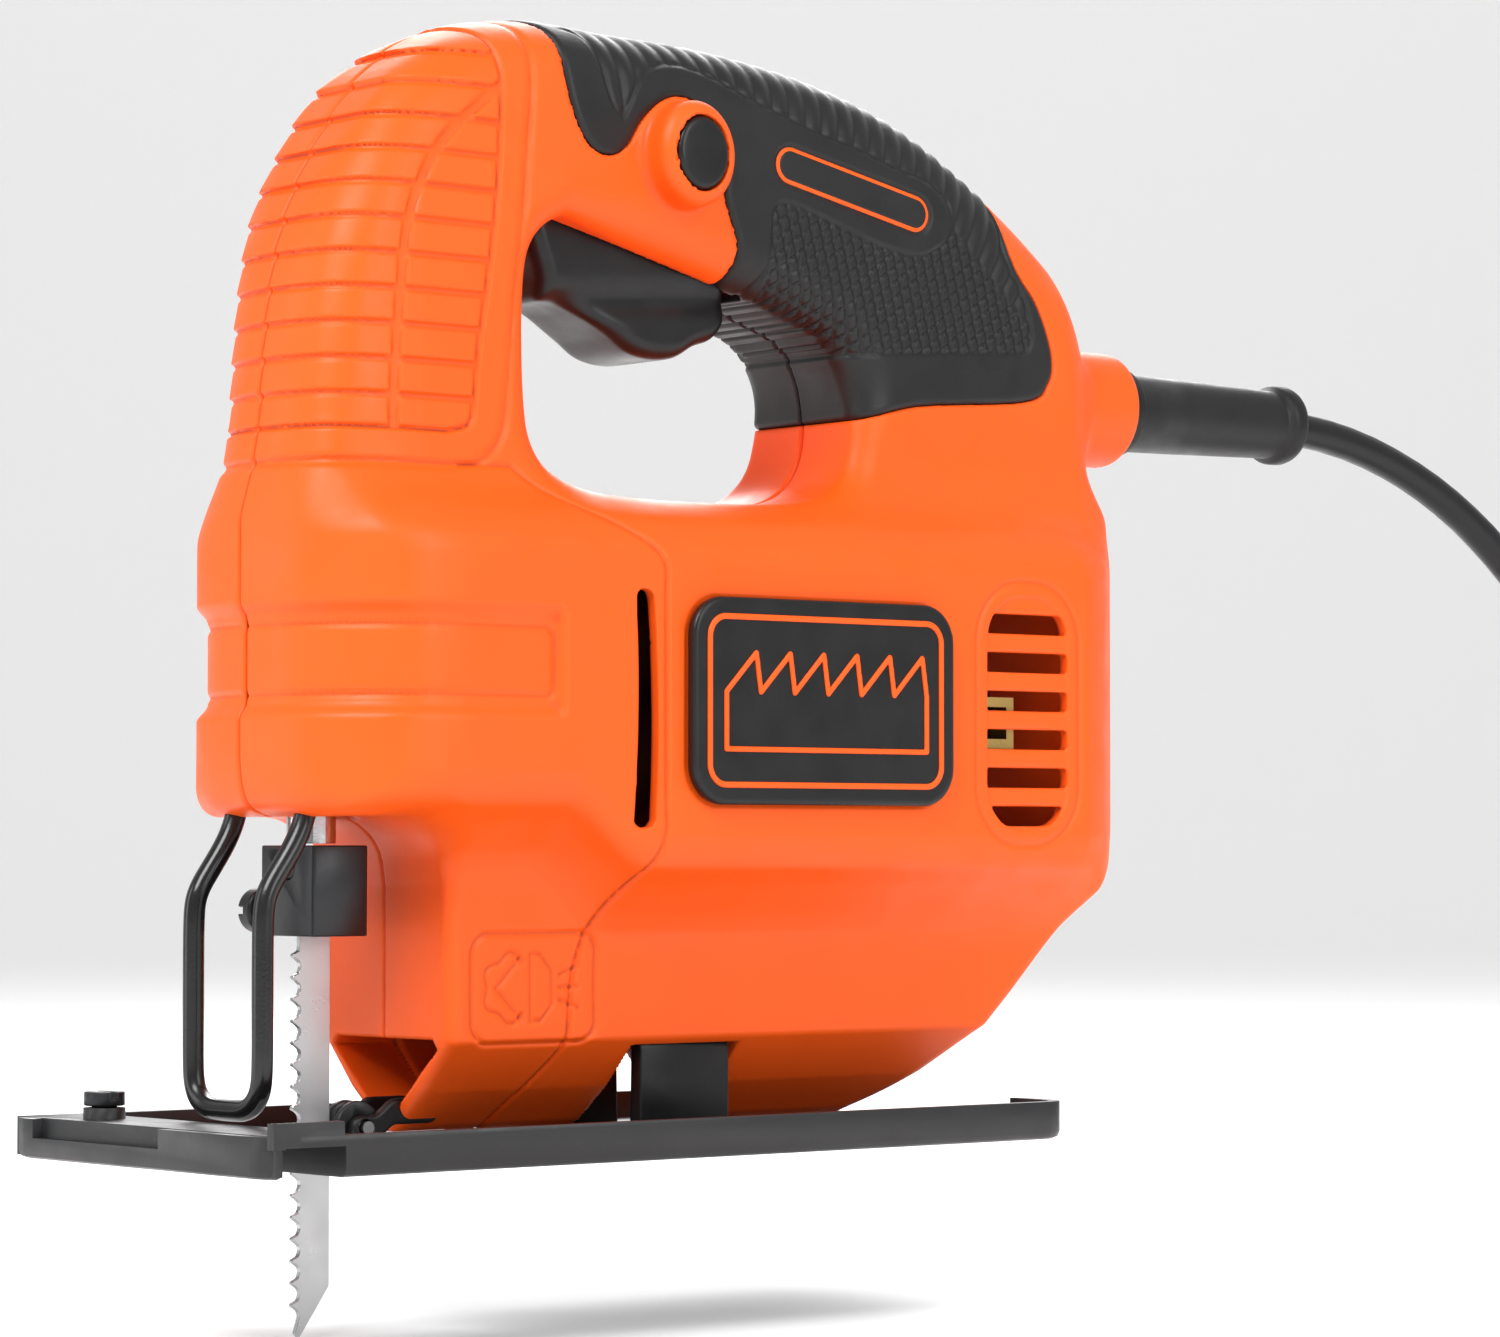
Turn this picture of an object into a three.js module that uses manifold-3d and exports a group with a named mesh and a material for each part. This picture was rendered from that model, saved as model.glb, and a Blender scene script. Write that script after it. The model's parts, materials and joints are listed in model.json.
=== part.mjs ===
// Compact corded jigsaw: two-part shell with a soft grip, universal motor, reduction gear,
// plunger with blade clamp, tilting shoe, mains cord and plug. Millimetres, +Z up, the blade
// cuts towards -Y, the tool's left side is +X.
import * as THREE from "three";
import { mergeVertices } from "three/addons/utils/BufferGeometryUtils.js";
import Module from "manifold-3d";

// ---------- driving dimensions (Y is counted from the plunger axis, Z from the sole) ----------
const PLUNGER_TO_ORIGIN = 50; // the part's origin lies this far behind the plunger axis
const GAP = 0.3; // between pieces that touch

const BODY_HALF_WIDTH = 31;
const HANDLE_HALF_WIDTH = 20.5;
const KEEL_HALF_WIDTH = 18;
const WALL = 3.5;
const GRIP_THICKNESS = 1.8;
const HOUSING_TOP = 192.5;
const HOUSING_REAR = 170.5;
const HOUSING_NOSE = -15.5;
const KEEL_FRONT = 14.5;
const KEEL_BOTTOM = 3;

const SHOE_LENGTH = 167.5;
const SHOE_WIDTH = 76.4;
const SHOE_FRONT = PLUNGER_TO_ORIGIN - SHOE_LENGTH / 2;
const SHOE_SHEET = 2;
const SHOE_RIM = 6.5;
const CUTOUT_HALF_WIDTH = 17;
const CUTOUT_FRONT = -18.4;
const CUTOUT_REAR = 14.6;

const BEVEL_AXIS_Z = 10; // height of the tilt axis over the sole
const SADDLE_RADIUS = 18; // the shell's seat for the bevel bracket
const BRACKET_FRONT = 55;
const BRACKET_REAR = 74;

const STROKE = 16;
const PLUNGER_RADIUS = 4;
const BLADE_THICKNESS = 1.2;
const BLADE_WIDTH = 7.3;
const BLADE_TIP = -28.6;
const TOOTH_PITCH = 3.5;
const CLAMP_TOP = 50.6;
const CLAMP_BOTTOM = 36;

const MOTOR_Z = 72;
const SHAFT_RADIUS = 2.5;
const MODULE = 0.7;
const PINION_TEETH = 7;
const GEAR_TEETH = 63;
const GEAR_Z = MOTOR_Z + (MODULE * (PINION_TEETH + GEAR_TEETH)) / 2;
const STATOR_FRONT = 62;
const STATOR_LENGTH = 42;
const STATOR_BORE = 17.2;
const ARMATURE_RADIUS = 16.6;
const FAN_RADIUS = 25;

const CORD_RADIUS = 3.25;
const CORD_Z = 131.5;
const RELIEF_END = 227;
const COIL_Y = 351; // coil centre behind the plunger axis
const COIL_X = 8;
const COIL_RADIUS = 36; // at the middle of its turns
const COIL_SECTION = 9.75; // half of the wound bundle's width and height
const FLOOR_Z = BLADE_TIP;

// ---------- helpers ----------
const wasm = await Module();
wasm.setup();
const { Manifold, Mesh } = wasm;

// A closed three.js geometry as a manifold-3d solid, faces outwards.
function solid(geometry) {
  const flat = geometry.index ? geometry.toNonIndexed() : geometry;
  const bare = new THREE.BufferGeometry();
  bare.setAttribute("position", flat.getAttribute("position"));
  const merged = mergeVertices(bare, 1e-4);
  const at = merged.attributes.position.array;
  const index = merged.index.array;
  const keep = [];
  let volume = 0;
  const p = [new THREE.Vector3(), new THREE.Vector3(), new THREE.Vector3()];
  for (let i = 0; i < index.length; i += 3) {
    const [a, b, c] = [index[i], index[i + 1], index[i + 2]];
    if (a === b || b === c || c === a) continue;
    keep.push(a, b, c);
    [a, b, c].forEach((v, k) => p[k].fromArray(at, v * 3));
    volume += p[0].dot(p[1].clone().cross(p[2]));
  }
  if (volume < 0)
    for (let i = 0; i < keep.length; i += 3)
      [keep[i], keep[i + 1]] = [keep[i + 1], keep[i]];
  const mesh = new Mesh({
    numProp: 3,
    vertProperties: new Float32Array(at),
    triVerts: new Uint32Array(keep),
  });
  return new Manifold(mesh);
}

function geometryOf(made) {
  const m = made.getMesh();
  const at = new Float32Array(m.numVert * 3);
  for (let i = 0; i < m.numVert; i++)
    at.set(m.vertProperties.subarray(i * m.numProp, i * m.numProp + 3), i * 3);
  const g = new THREE.BufferGeometry();
  g.setAttribute("position", new THREE.BufferAttribute(at, 3));
  g.setIndex(new THREE.BufferAttribute(new Uint32Array(m.triVerts), 1));
  const out = g.toNonIndexed();
  out.computeVertexNormals();
  return out;
}

function shapeOf(points, holes = []) {
  const v = (list) => list.map(([a, b]) => new THREE.Vector2(a, b));
  const s = new THREE.Shape(v(points));
  for (const h of holes) s.holes.push(new THREE.Path(v(h)));
  return s;
}

const AXES = {
  X: new THREE.Matrix4().set(0, 0, 1, 0, 1, 0, 0, 0, 0, 1, 0, 0, 0, 0, 0, 1),
  Y: new THREE.Matrix4().set(1, 0, 0, 0, 0, 0, -1, 0, 0, 1, 0, 0, 0, 0, 0, 1),
  Z: new THREE.Matrix4(),
};

// Extrudes a drawn outline along an axis. Outlines are (y, z) for X, (x, z) for Y, (x, y) for Z.
function extrude(axis, points, from, to, { bevel = 0, segments = 2, holes = [] } = {}) {
  const g = new THREE.ExtrudeGeometry(shapeOf(points, holes), {
    depth: to - from - 2 * bevel,
    steps: 1,
    bevelEnabled: bevel > 0,
    bevelThickness: bevel,
    bevelSize: bevel,
    bevelOffset: -bevel,
    bevelSegments: segments,
    curveSegments: 8,
  });
  g.translate(0, 0, axis === "Y" ? -to + bevel : from + bevel);
  g.applyMatrix4(AXES[axis]);
  return solid(g);
}

function box(x0, x1, y0, y1, z0, z1) {
  const g = new THREE.BoxGeometry(x1 - x0, y1 - y0, z1 - z0);
  g.translate((x0 + x1) / 2, (y0 + y1) / 2, (z0 + z1) / 2);
  return solid(g);
}

// Turns a profile of (radius, distance along the axis) about an axis through (a, b), which are
// the two other coordinates in X, Y, Z order.
function turned(axis, profile, a = 0, b = 0, sides = 28) {
  const g = new THREE.LatheGeometry(
    profile.map(([r, t]) => new THREE.Vector2(r, t)),
    sides,
  );
  if (axis === "X") g.rotateZ(-Math.PI / 2).translate(0, a, b);
  if (axis === "Y") g.translate(a, 0, b);
  if (axis === "Z") g.rotateX(Math.PI / 2).translate(a, b, 0);
  return solid(g);
}

function rod(axis, r, from, to, a = 0, b = 0, sides = 24) {
  return turned(axis, [[0, from], [r, from], [r, to], [0, to]], a, b, sides);
}

function ring(axis, outer, inner, from, to, a = 0, b = 0, sides = 28) {
  const p = [[inner, from], [outer, from], [outer, to], [inner, to], [inner, from]];
  return turned(axis, p, a, b, sides);
}

function along(points, radius, { sides = 10, steps = 40, tension = 0.5 } = {}) {
  const path = new THREE.CatmullRomCurve3(
    points.map((q) => new THREE.Vector3(...q)),
    false,
    "catmullrom",
    tension,
  );
  const round = [];
  for (let i = 0; i < sides; i++) {
    const t = (2 * Math.PI * i) / sides;
    round.push(new THREE.Vector2(radius * Math.cos(t), radius * Math.sin(t)));
  }
  const g = new THREE.ExtrudeGeometry(new THREE.Shape(round), {
    steps,
    bevelEnabled: false,
    extrudePath: path,
  });
  return solid(g);
}

function roundedBox(a0, a1, b0, b1, r, n = 4) {
  const out = [];
  const corners = [
    [a1 - r, b0 + r, -90],
    [a1 - r, b1 - r, 0],
    [a0 + r, b1 - r, 90],
    [a0 + r, b0 + r, 180],
  ];
  for (const [a, b, start] of corners)
    for (let i = 0; i <= n; i++) {
      const t = ((start + (90 * i) / n) * Math.PI) / 180;
      out.push([a + r * Math.cos(t), b + r * Math.sin(t)]);
    }
  return out;
}

// Moves each corner of a counterclockwise outline inwards by t, or a hole's outwards.
function inset(points, t) {
  const n = points.length;
  return points.map((p, i) => {
    const a = points[(i + n - 1) % n];
    const b = points[(i + 1) % n];
    const u = new THREE.Vector2(p[0] - a[0], p[1] - a[1]).normalize();
    const v = new THREE.Vector2(b[0] - p[0], b[1] - p[1]).normalize();
    const m = new THREE.Vector2(-u.y - v.y, u.x + v.x).normalize();
    const k = t / Math.max(0.5, m.dot(new THREE.Vector2(-u.y, u.x)));
    return [p[0] + m.x * k, p[1] + m.y * k];
  });
}

const mirrored = (half) => [
  ...half,
  ...half
    .filter(([x]) => x > 0)
    .reverse()
    .map(([x, v]) => [-x, v]),
];

const cut = (a, ...tools) => tools.reduce((s, t) => s.subtract(t), a);
const join = (...list) => list.reduce((s, t) => s.add(t));
const both = (a, b) => a.intersect(b);

const tool = new THREE.Group();
tool.position.y = -PLUNGER_TO_ORIGIN;
const group = new THREE.Group();
group.add(tool);

const PAINT = {
  orange: [0xf2600f, 0.42, 0],
  soft: [0x1d1d1e, 0.75, 0],
  black: [0x161616, 0.5, 0],
  shoe: [0x2e3033, 0.45, 0.6],
  steel: [0xb8bbc0, 0.3, 1],
  dark: [0x33353a, 0.4, 0.9],
  copper: [0xb06a3b, 0.35, 1],
  brass: [0xc9a35a, 0.35, 1],
  carbon: [0x222222, 0.7, 0],
  cord: [0x141414, 0.55, 0],
};
function add(name, made, paint) {
  const [color, roughness, metalness] = PAINT[paint];
  const material = new THREE.MeshStandardMaterial({ color, roughness, metalness });
  const mesh = new THREE.Mesh(geometryOf(made), material);
  mesh.name = name;
  tool.add(mesh);
}

// ---------- shell ----------
const R = HOUSING_REAR;
const T = HOUSING_TOP;
const SIDE = [
  [KEEL_FRONT, KEEL_BOTTOM], [112, KEEL_BOTTOM], [121, 8.5], [131, 17.5], [143, 28.5],
  [155, 41], [R - 6.5, 53], [R - 2, 66], [R - 0.3, 80], [R, 100], [R, 134], [R - 2.5, 142],
  [R - 8, 149.5], [150, 159.5], [137, 168], [120, T - 15], [104, T - 8], [88, T - 3.5],
  [72, T - 1], [58, T], [45, T - 1], [30, T - 5], [16, T - 12], [5, T - 21], [-3, 161],
  [-8.5, 149], [-11.5, 135], [-12.3, 120], [-12.8, 109], [HOUSING_NOSE, 103],
  [HOUSING_NOSE, 64], [-13.5, 58.5], [-9.5, 55.3], [6, 55.3], [11.5, 52.5], [KEEL_FRONT, 46],
];
const HAND_OPENING = [
  [37, 111.5], [33, 114.5], [31.5, 120], [31, 140], [33, 149.5], [38.5, 154.2], [46, 153.4],
  [80, 145], [88, 142], [97, 139.5], [103, 134.5], [105, 126], [103.5, 117], [98, 111.5],
  [90, 109.5], [78, 108.5], [60, 108.3], [46, 109],
];
const W = BODY_HALF_WIDTH;
const H = HANDLE_HALF_WIDTH;
const K = KEEL_HALF_WIDTH;
const SECTION = mirrored([
  [0, KEEL_BOTTOM - 0.5], [K - 0.5, 17], [K, 33], [K + 4, 40], [W - 2.5, 47.5], [W, 53],
  [W, 94], [W - 1.5, 100.5], [W - 5.5, 106], [H + 1, 112], [H, 120], [H, 165], [H - 1, 175],
  [H - 4.5, 183.5], [H - 10.5, 189.5], [H - 16.5, T - 0.2], [0, T + 0.1],
]);
const N = HOUSING_NOSE;
const rearAt = (x) => R - (x * x) / 40;
const BODY_PLAN = mirrored([
  [0, N], [10, N + 1.6], [18, N + 5.1], [25, N + 10.5], [29, N + 17], [W + 1, N + 26],
  [W + 1, rearAt(W + 1)], [25, rearAt(25)], [18, rearAt(18)], [9, rearAt(9)], [0, R],
]);
const HANDLE_PLAN = mirrored([
  [0, N], [8, N + 2.3], [14, N + 7], [18.5, N + 13], [H + 1, N + 21], [H + 1, rearAt(H + 1)],
  [14, rearAt(14)], [7, rearAt(7)], [0, R],
]);

// The outer surface moved inwards by t.
function envelope(t) {
  const side = extrude("X", inset(SIDE, t), -W - 1, W + 1, { holes: [inset(HAND_OPENING, t)] });
  const section = extrude("Y", inset(SECTION, t), N - 1, R + 1);
  const body = extrude("Z", inset(BODY_PLAN, t), 0, 112);
  const handle = extrude("Z", inset(HANDLE_PLAN, t), 111, T + 1);
  return both(both(side, section), join(body, handle));
}
const outer = envelope(0);
const inner = envelope(WALL);

const LOCK_Y = 63.8;
const LOCK_Z = 166.6;
const LOCK_RADIUS = 6;
const VENT = { front: 121.5, rear: 140.5, low: 54, count: 6, pitch: 6.7, height: 3.4 };
const FAN_SLOT = { front: 43, rear: 47, low: 54, high: 92 };
const BADGE = { front: 53.5, rear: 112, low: 57, high: 92, corner: 7, depth: 1.4 };
const SCREWS = [
  [15, 166], [20, 134], [27, 27], [110, 26], [159, 98], [140, 151],
];
const DUCT = [[0, 4.6], [14.2, 17.6], [13.4, 19], [-13.4, 19], [-14.2, 17.6]];
const TRIGGER_HALF_WIDTH = 9.4;

const GRIP_AREA = [
  [38.5, 200], [39, 180], [41, 170], [44.5, 165.8], [51.5, 166], [55, 170], [58.5, 174.4],
  [64, 176.8], [70, 174.4], [73.6, 169], [73.6, 160], [76.5, 151], [78, 130], [100, 128],
  [146, 132.5], [148.5, 139], [146.5, 147], [141, 156], [137, 176.3], [110, 200],
];
const gripLayer = extrude("X", inset(GRIP_AREA, GAP), -W, W);
const gripPocket = extrude("X", GRIP_AREA, -W, W);
const handleOnly = box(-W, W, 36, 160, 127, T + 5);
let grip = both(both(cut(outer, envelope(GRIP_THICKNESS)), gripLayer), handleOnly);
grip = cut(
  grip,
  rod("X", 9 + GAP, 5, W, LOCK_Y, LOCK_Z, 32),
  box(-W, W, 38, 82.2, 120, 157),
);
const pocket = both(cut(envelope(-1), envelope(GRIP_THICKNESS + GAP)), both(gripPocket, handleOnly));

let shell = cut(outer, inner, pocket);
// cross walls that carry the rear bearing and the upper plunger bush
const rearWall = both(inner, box(-W, W, 143.6, 147.4, 46, 102.5));
const bushWall = both(inner, box(-W, W, -14, 12, 121, 126));
shell = join(shell, rearWall, bushWall);
const bossSpace = cut(outer, pocket);
for (const [y, z] of SCREWS) shell = join(shell, both(bossSpace, rod("X", 4.2, -W, W, y, z, 16)));
shell = join(shell, both(envelope(-1.5), rod("X", 9, 10, H + 1.5, LOCK_Y, LOCK_Z, 32)));
for (const [y, z] of SCREWS)
  shell = cut(
    shell,
    rod("X", 1.9, -W - 3, 9, y, z, 16),
    rod("X", 3.2, -W - 3, -12, y, z, 16),
  );
const vents = [];
for (let i = 0; i < VENT.count; i++) {
  const low = VENT.low + i * VENT.pitch;
  vents.push(box(-W - 3, W + 3, VENT.front, VENT.rear, low, low + VENT.height));
}
shell = cut(
  shell,
  ...vents,
  box(-W - 3, W + 3, FAN_SLOT.front, FAN_SLOT.rear, FAN_SLOT.low, FAN_SLOT.high),
  extrude("Y", DUCT, KEEL_FRONT - 5, KEEL_FRONT + 12),
  rod("Y", 8.3, 140, 150, 0, MOTOR_Z, 32),
  rod("Z", 7.3, 50, 65, 0, 0, 28),
  rod("Z", 7.3, 119, 128, 0, 0, 28),
  rod("X", LOCK_RADIUS + GAP, 4, W, LOCK_Y, LOCK_Z, 28),
  rod("Y", 7.6, R - 12, R + 3, 0, CORD_Z, 28),
  box(-TRIGGER_HALF_WIDTH - 0.4, TRIGGER_HALF_WIDTH + 0.4, 39.4, 81.4, 139, 163),
  rod("Y", SADDLE_RADIUS + GAP, BRACKET_FRONT - 2, BRACKET_REAR + 2, 0, BEVEL_AXIS_Z, 48),
  rod("Z", 2.9, 26, 45, 0, (BRACKET_FRONT + BRACKET_REAR) / 2, 16),
);
// a solid pad over the saddle takes the bevel screw
const SADDLE_MID = (BRACKET_FRONT + BRACKET_REAR) / 2;
const padOuter = rod("Y", SADDLE_RADIUS + 4, BRACKET_FRONT - 4.5, BRACKET_REAR + 4.5, 0, BEVEL_AXIS_Z, 48);
const padInner = rod("Y", SADDLE_RADIUS + GAP, BRACKET_FRONT - 2, BRACKET_REAR + 2, 0, BEVEL_AXIS_Z, 48);
let pad = both(cut(padOuter, padInner), envelope(0.6));
pad = cut(pad, rod("Z", 2.9, 20, 45, 0, SADDLE_MID, 16));
shell = join(shell, pad);


const badgeOutline = (t) =>
  roundedBox(BADGE.front + t, BADGE.rear - t, BADGE.low + t, BADGE.high - t, BADGE.corner);
for (const side of [1, -1]) {
  const [from, to] = side > 0 ? [W - BADGE.depth, W + 2] : [-W - 2, -W + BADGE.depth];
  shell = cut(shell, extrude("X", badgeOutline(0), from, to));
  const [low, high] =
    side > 0 ? [W - BADGE.depth + GAP, W + 0.9] : [-W - 0.9, -W + BADGE.depth - GAP];
  const plate = extrude("X", badgeOutline(GAP), low, high);
  add(side > 0 ? "badge_left" : "badge_right", plate, "black");
}
const leftHalf = box(GAP / 2, W + 5, -40, 200, -10, 210);
const rightHalf = box(-W - 5, -GAP / 2, -40, 200, -10, 210);
const mainBody = (s) => s.decompose().reduce((a, b) => (a.volume() > b.volume() ? a : b));
add("housing_left", mainBody(both(shell, leftHalf)), "orange");
add("housing_right", mainBody(both(shell, rightHalf)), "orange");
add("grip_left", mainBody(both(grip, leftHalf)), "soft");
add("grip_right", mainBody(both(grip, rightHalf)), "soft");

SCREWS.forEach(([y, z], i) => {
  const shank = rod("X", 1.5, -14, 8.5, y, z, 12);
  const head = cut(rod("X", 2.8, -14.4, -12.3, y, z, 16), box(-15, -13.4, y - 2, y + 2, z - 0.4, z + 0.4));
  add("housing_screw_" + (i + 1), join(shank, head), "dark");
});

// ---------- trigger, switch and lock ----------
const TRIGGER = [
  [41, 141.2], [45.5, 141], [50, 138.8], [55, 136.8], [59.5, 134.2], [64, 133], [69, 133.4],
  [73.5, 135.6], [77.5, 137], [80, 139.5], [81, 143], [81, 152.6], [40, 158.2], [40, 146],
];
const trigger = extrude("X", TRIGGER, -TRIGGER_HALF_WIDTH, TRIGGER_HALF_WIDTH, { bevel: 1.2 });
add("trigger", cut(trigger, rod("Z", 4.4, 152, 165, 0, 60, 20)), "black");
const coil = [];
for (let i = 0; i <= 48; i++) {
  const t = (i / 48) * 2 * Math.PI * 4;
  coil.push([3.2 * Math.cos(t), 60 + 3.2 * Math.sin(t), 152.9 + (i / 48) * 12.2]);
}
add("trigger_spring", along(coil, 0.45, { sides: 6, steps: 64 }), "steel");
const SWITCH = [[46, 168.2], [60, 166], [79, 161.5], [82, 172], [78, 179], [52, 182.6]];
add("switch_body", extrude("X", SWITCH, -8, 8, { bevel: 0.8, segments: 1 }), "black");
add(
  "lock_button",
  turned("X", [[0, 12.4], [3.4, 12.4], [3.4, 15], [6, 15], [6, 22.4], [5.2, 23], [0, 23]], LOCK_Y, LOCK_Z),
  "black",
);

// ---------- motor ----------
const SE = STATOR_FRONT + STATOR_LENGTH;
const statorPlate = roundedBox(-25.4, 25.4, MOTOR_Z - 26.4, MOTOR_Z + 26.4, 12, 5);
add(
  "stator_core",
  cut(
    extrude("Y", statorPlate, STATOR_FRONT, SE),
    rod("Y", STATOR_BORE, STATOR_FRONT - 1, SE + 1, 0, MOTOR_Z, 40),
  ),
  "dark",
);
add("field_coil_front", ring("Y", 24, 17.6, STATOR_FRONT - 8.5, STATOR_FRONT - GAP, 0, MOTOR_Z), "copper");
add("field_coil_rear", ring("Y", 24, 17.6, SE + GAP, SE + 8.5, 0, MOTOR_Z), "copper");
const shaft = [[0, 13.4], [1, 13.4], [1, 20.9], [SHAFT_RADIUS, 20.9], [SHAFT_RADIUS, 149], [0, 149]];
add("armature_shaft", turned("Y", shaft, 0, MOTOR_Z, 24), "steel");
const AF = STATOR_FRONT + 1;
const AE = SE - 1;
const bore = SHAFT_RADIUS + GAP;
let core = ring("Y", ARMATURE_RADIUS, bore, AF, AE, 0, MOTOR_Z, 48);
for (let i = 0; i < 12; i++) {
  const groove = box(-1, 1, AF - 1, AE + 1, 11, 20).rotate([0, i * 30, 0]);
  core = cut(core, groove.translate([0, 0, MOTOR_Z]));
}
add("armature_core", core, "dark");
const wound = (from, to) =>
  turned("Y", [
    [bore, from], [11, from], [15, from + 2.2], [15, to - 2.2], [11, to], [bore, to], [bore, from],
  ], 0, MOTOR_Z);
add("armature_winding_front", wound(AF - 8.5, AF - GAP), "copper");
add("armature_winding_rear", wound(AE + GAP, AE + 8.5), "copper");
add("commutator", ring("Y", 9, bore, 120, 132, 0, MOTOR_Z, 24), "copper");
let fan = join(
  ring("Y", 7, bore, 38, 47, 0, MOTOR_Z, 24),
  ring("Y", FAN_RADIUS - 0.6, bore, 45.4, 47, 0, MOTOR_Z, 36),
);
for (let i = 0; i < 12; i++) {
  const blade = box(-0.8, 0.8, 39.5, 46, 6, FAN_RADIUS - 1).rotate([0, i * 30, 0]);
  fan = join(fan, blade.translate([0, 0, MOTOR_Z]));
}
add("fan", fan, "black");
const bearing = (from, to) => ring("Y", 8, bore, from, to, 0, MOTOR_Z);
add("bearing_front", bearing(21.5, 26.5), "steel");
add("bearing_rear", bearing(143, 148), "steel");
for (const [word, side] of [["left", 1], ["right", -1]]) {
  const span = (a, b) => (side > 0 ? [a, b] : [-b, -a]);
  const [b0, b1] = span(9.4, 21);
  add("brush_" + word, box(b0, b1, 123, 129, MOTOR_Z - 2.5, MOTOR_Z + 2.5), "carbon");
  const [h0, h1] = span(12, 26);
  const [i0, i1] = span(11, 27);
  add(
    "brush_holder_" + word,
    cut(
      box(h0, h1, 121, 131, MOTOR_Z - 4.5, MOTOR_Z + 4.5),
      box(i0, i1, 122.7, 129.3, MOTOR_Z - 2.8, MOTOR_Z + 2.8),
    ),
    "brass",
  );
}

// ---------- reduction gear and crank ----------
function toothed(teeth, module, tip, root, share, phase) {
  const out = [];
  const pitch = (2 * Math.PI) / teeth;
  for (let i = 0; i < teeth; i++) {
    const mid = i * pitch + phase;
    for (const [r, w] of [[root, -0.5 - share], [root, -share * 1.9], [tip, -share * 0.75], [tip, share * 0.75], [root, share * 1.9]]) {
      if (w < -0.5) continue;
      out.push([r * Math.sin(mid + w * pitch), r * Math.cos(mid + w * pitch)]);
    }
  }
  return out.reverse();
}
const gearPitch = (MODULE * GEAR_TEETH) / 2;
const pinionPitch = (MODULE * PINION_TEETH) / 2;
const gearOutline = toothed(GEAR_TEETH, MODULE, gearPitch + 0.55, gearPitch - 0.85, 0.17, 0);
const CRANK = STROKE / 2;
let gear = extrude("Y", gearOutline, 14, 20);
gear = cut(gear, rod("Y", 3.3, 12, 22, 0, 0, 24));
gear = cut(gear, ring("Y", 18.5, 7, 18, 21, 0, 0, 36));
gear = join(gear, rod("Y", 2, 8.2, 15, 0, CRANK, 20));
add("gear", gear.translate([0, 0, GEAR_Z]), "steel");
add("crank_roller", ring("Y", 3.4, 2.1, 8, 13.5, 0, GEAR_Z + CRANK, 24), "steel");
add("gear_shaft", rod("Y", 3, 13.6, 26, 0, GEAR_Z), "steel");
const pinionOutline = toothed(PINION_TEETH, MODULE, pinionPitch + 0.6, pinionPitch - 0.75, 0.16, 0);
const pinion = cut(extrude("Y", pinionOutline, 13.6, 20.4), rod("Y", 1.3, 12, 22, 0, 0, 16));
add("pinion", pinion.translate([0, 0, MOTOR_Z]), "steel");
const plateArea = both(envelope(WALL + GAP), box(-W, W, 22, 26, 52, 107.5));
add(
  "gear_plate",
  cut(
    plateArea,
    rod("Y", 8.3, 20, 28, 0, MOTOR_Z, 32),
    rod("Y", 3.3, 20, 28, 0, GEAR_Z, 24),
  ),
  "steel",
);

// ---------- plunger and blade ----------
const YOKE_Z = GEAR_Z + CRANK;
let plunger = rod("Z", PLUNGER_RADIUS, CLAMP_TOP + GAP, 146, 0, 0, 24);
const yoke = cut(
  extrude("Y", roundedBox(-14.5, 14.5, YOKE_Z - 6.5, YOKE_Z + 6.5, 3), 1, 7.5),
  extrude("Y", roundedBox(-12, 12, YOKE_Z - 3.7, YOKE_Z + 3.7, 3.6), 4.6, 8.5),
);
add("plunger", join(plunger, yoke), "steel");
for (const [word, low, high] of [["lower", 55.6, 64], ["upper", 119.6, 127]])
  add("bush_" + word, ring("Z", 7, PLUNGER_RADIUS + 0.1, low, high, 0, 0, 24), "brass");
let clamp = extrude("Z", roundedBox(-7.5, 7.5, -4.8, 6.1, 0.6, 2), CLAMP_BOTTOM, CLAMP_TOP);
const shank = BLADE_THICKNESS / 2 + 0.25;
clamp = cut(
  clamp,
  box(-shank, shank, -4.05, 3.8, CLAMP_BOTTOM - 1, 44.3),
  rod("X", 2.3, -9, 0, -0.3, 40, 16),
  rod("Y", 2.3, -7, 1.5, 0, 47.3, 16),
);
add("blade_clamp", clamp, "black");
const sideScrew = join(rod("X", 2, -8, -0.95, -0.3, 40, 16), rod("X", 3.5, -11, -7.8, -0.3, 40, 20));
add("clamp_screw_side", cut(sideScrew, box(-12, -9.6, -4.5, 4, 39.5, 40.5)), "dark");
const frontScrew = cut(rod("Y", 2, -4.4, 1.2, 0, 47.3, 16), box(-3, 3, -5, -3.4, 46.9, 47.7));
add("clamp_screw_front", frontScrew, "dark");
const TIP = -BLADE_WIDTH / 2 - 0.15;
const bladeOutline = [[TIP + 1.3, 44], [TIP + 1.3, 34]];
const teeth = Math.floor((33.5 - BLADE_TIP) / TOOTH_PITCH);
for (let i = 0; i < teeth; i++) {
  const z = 33.5 - i * TOOTH_PITCH;
  bladeOutline.push([TIP + 1.3, z - 0.2], [TIP, z - 1.2], [TIP + 1.3, z - 1.7], [TIP + 1.5, z - 2.6]);
}
const BACK = TIP + BLADE_WIDTH;
bladeOutline.push([TIP + 0.9, BLADE_TIP], [TIP + 1.6, BLADE_TIP], [BACK, BLADE_TIP + 8], [BACK, 44]);
add("blade", extrude("X", bladeOutline, -BLADE_THICKNESS / 2, BLADE_THICKNESS / 2), "steel");

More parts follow.
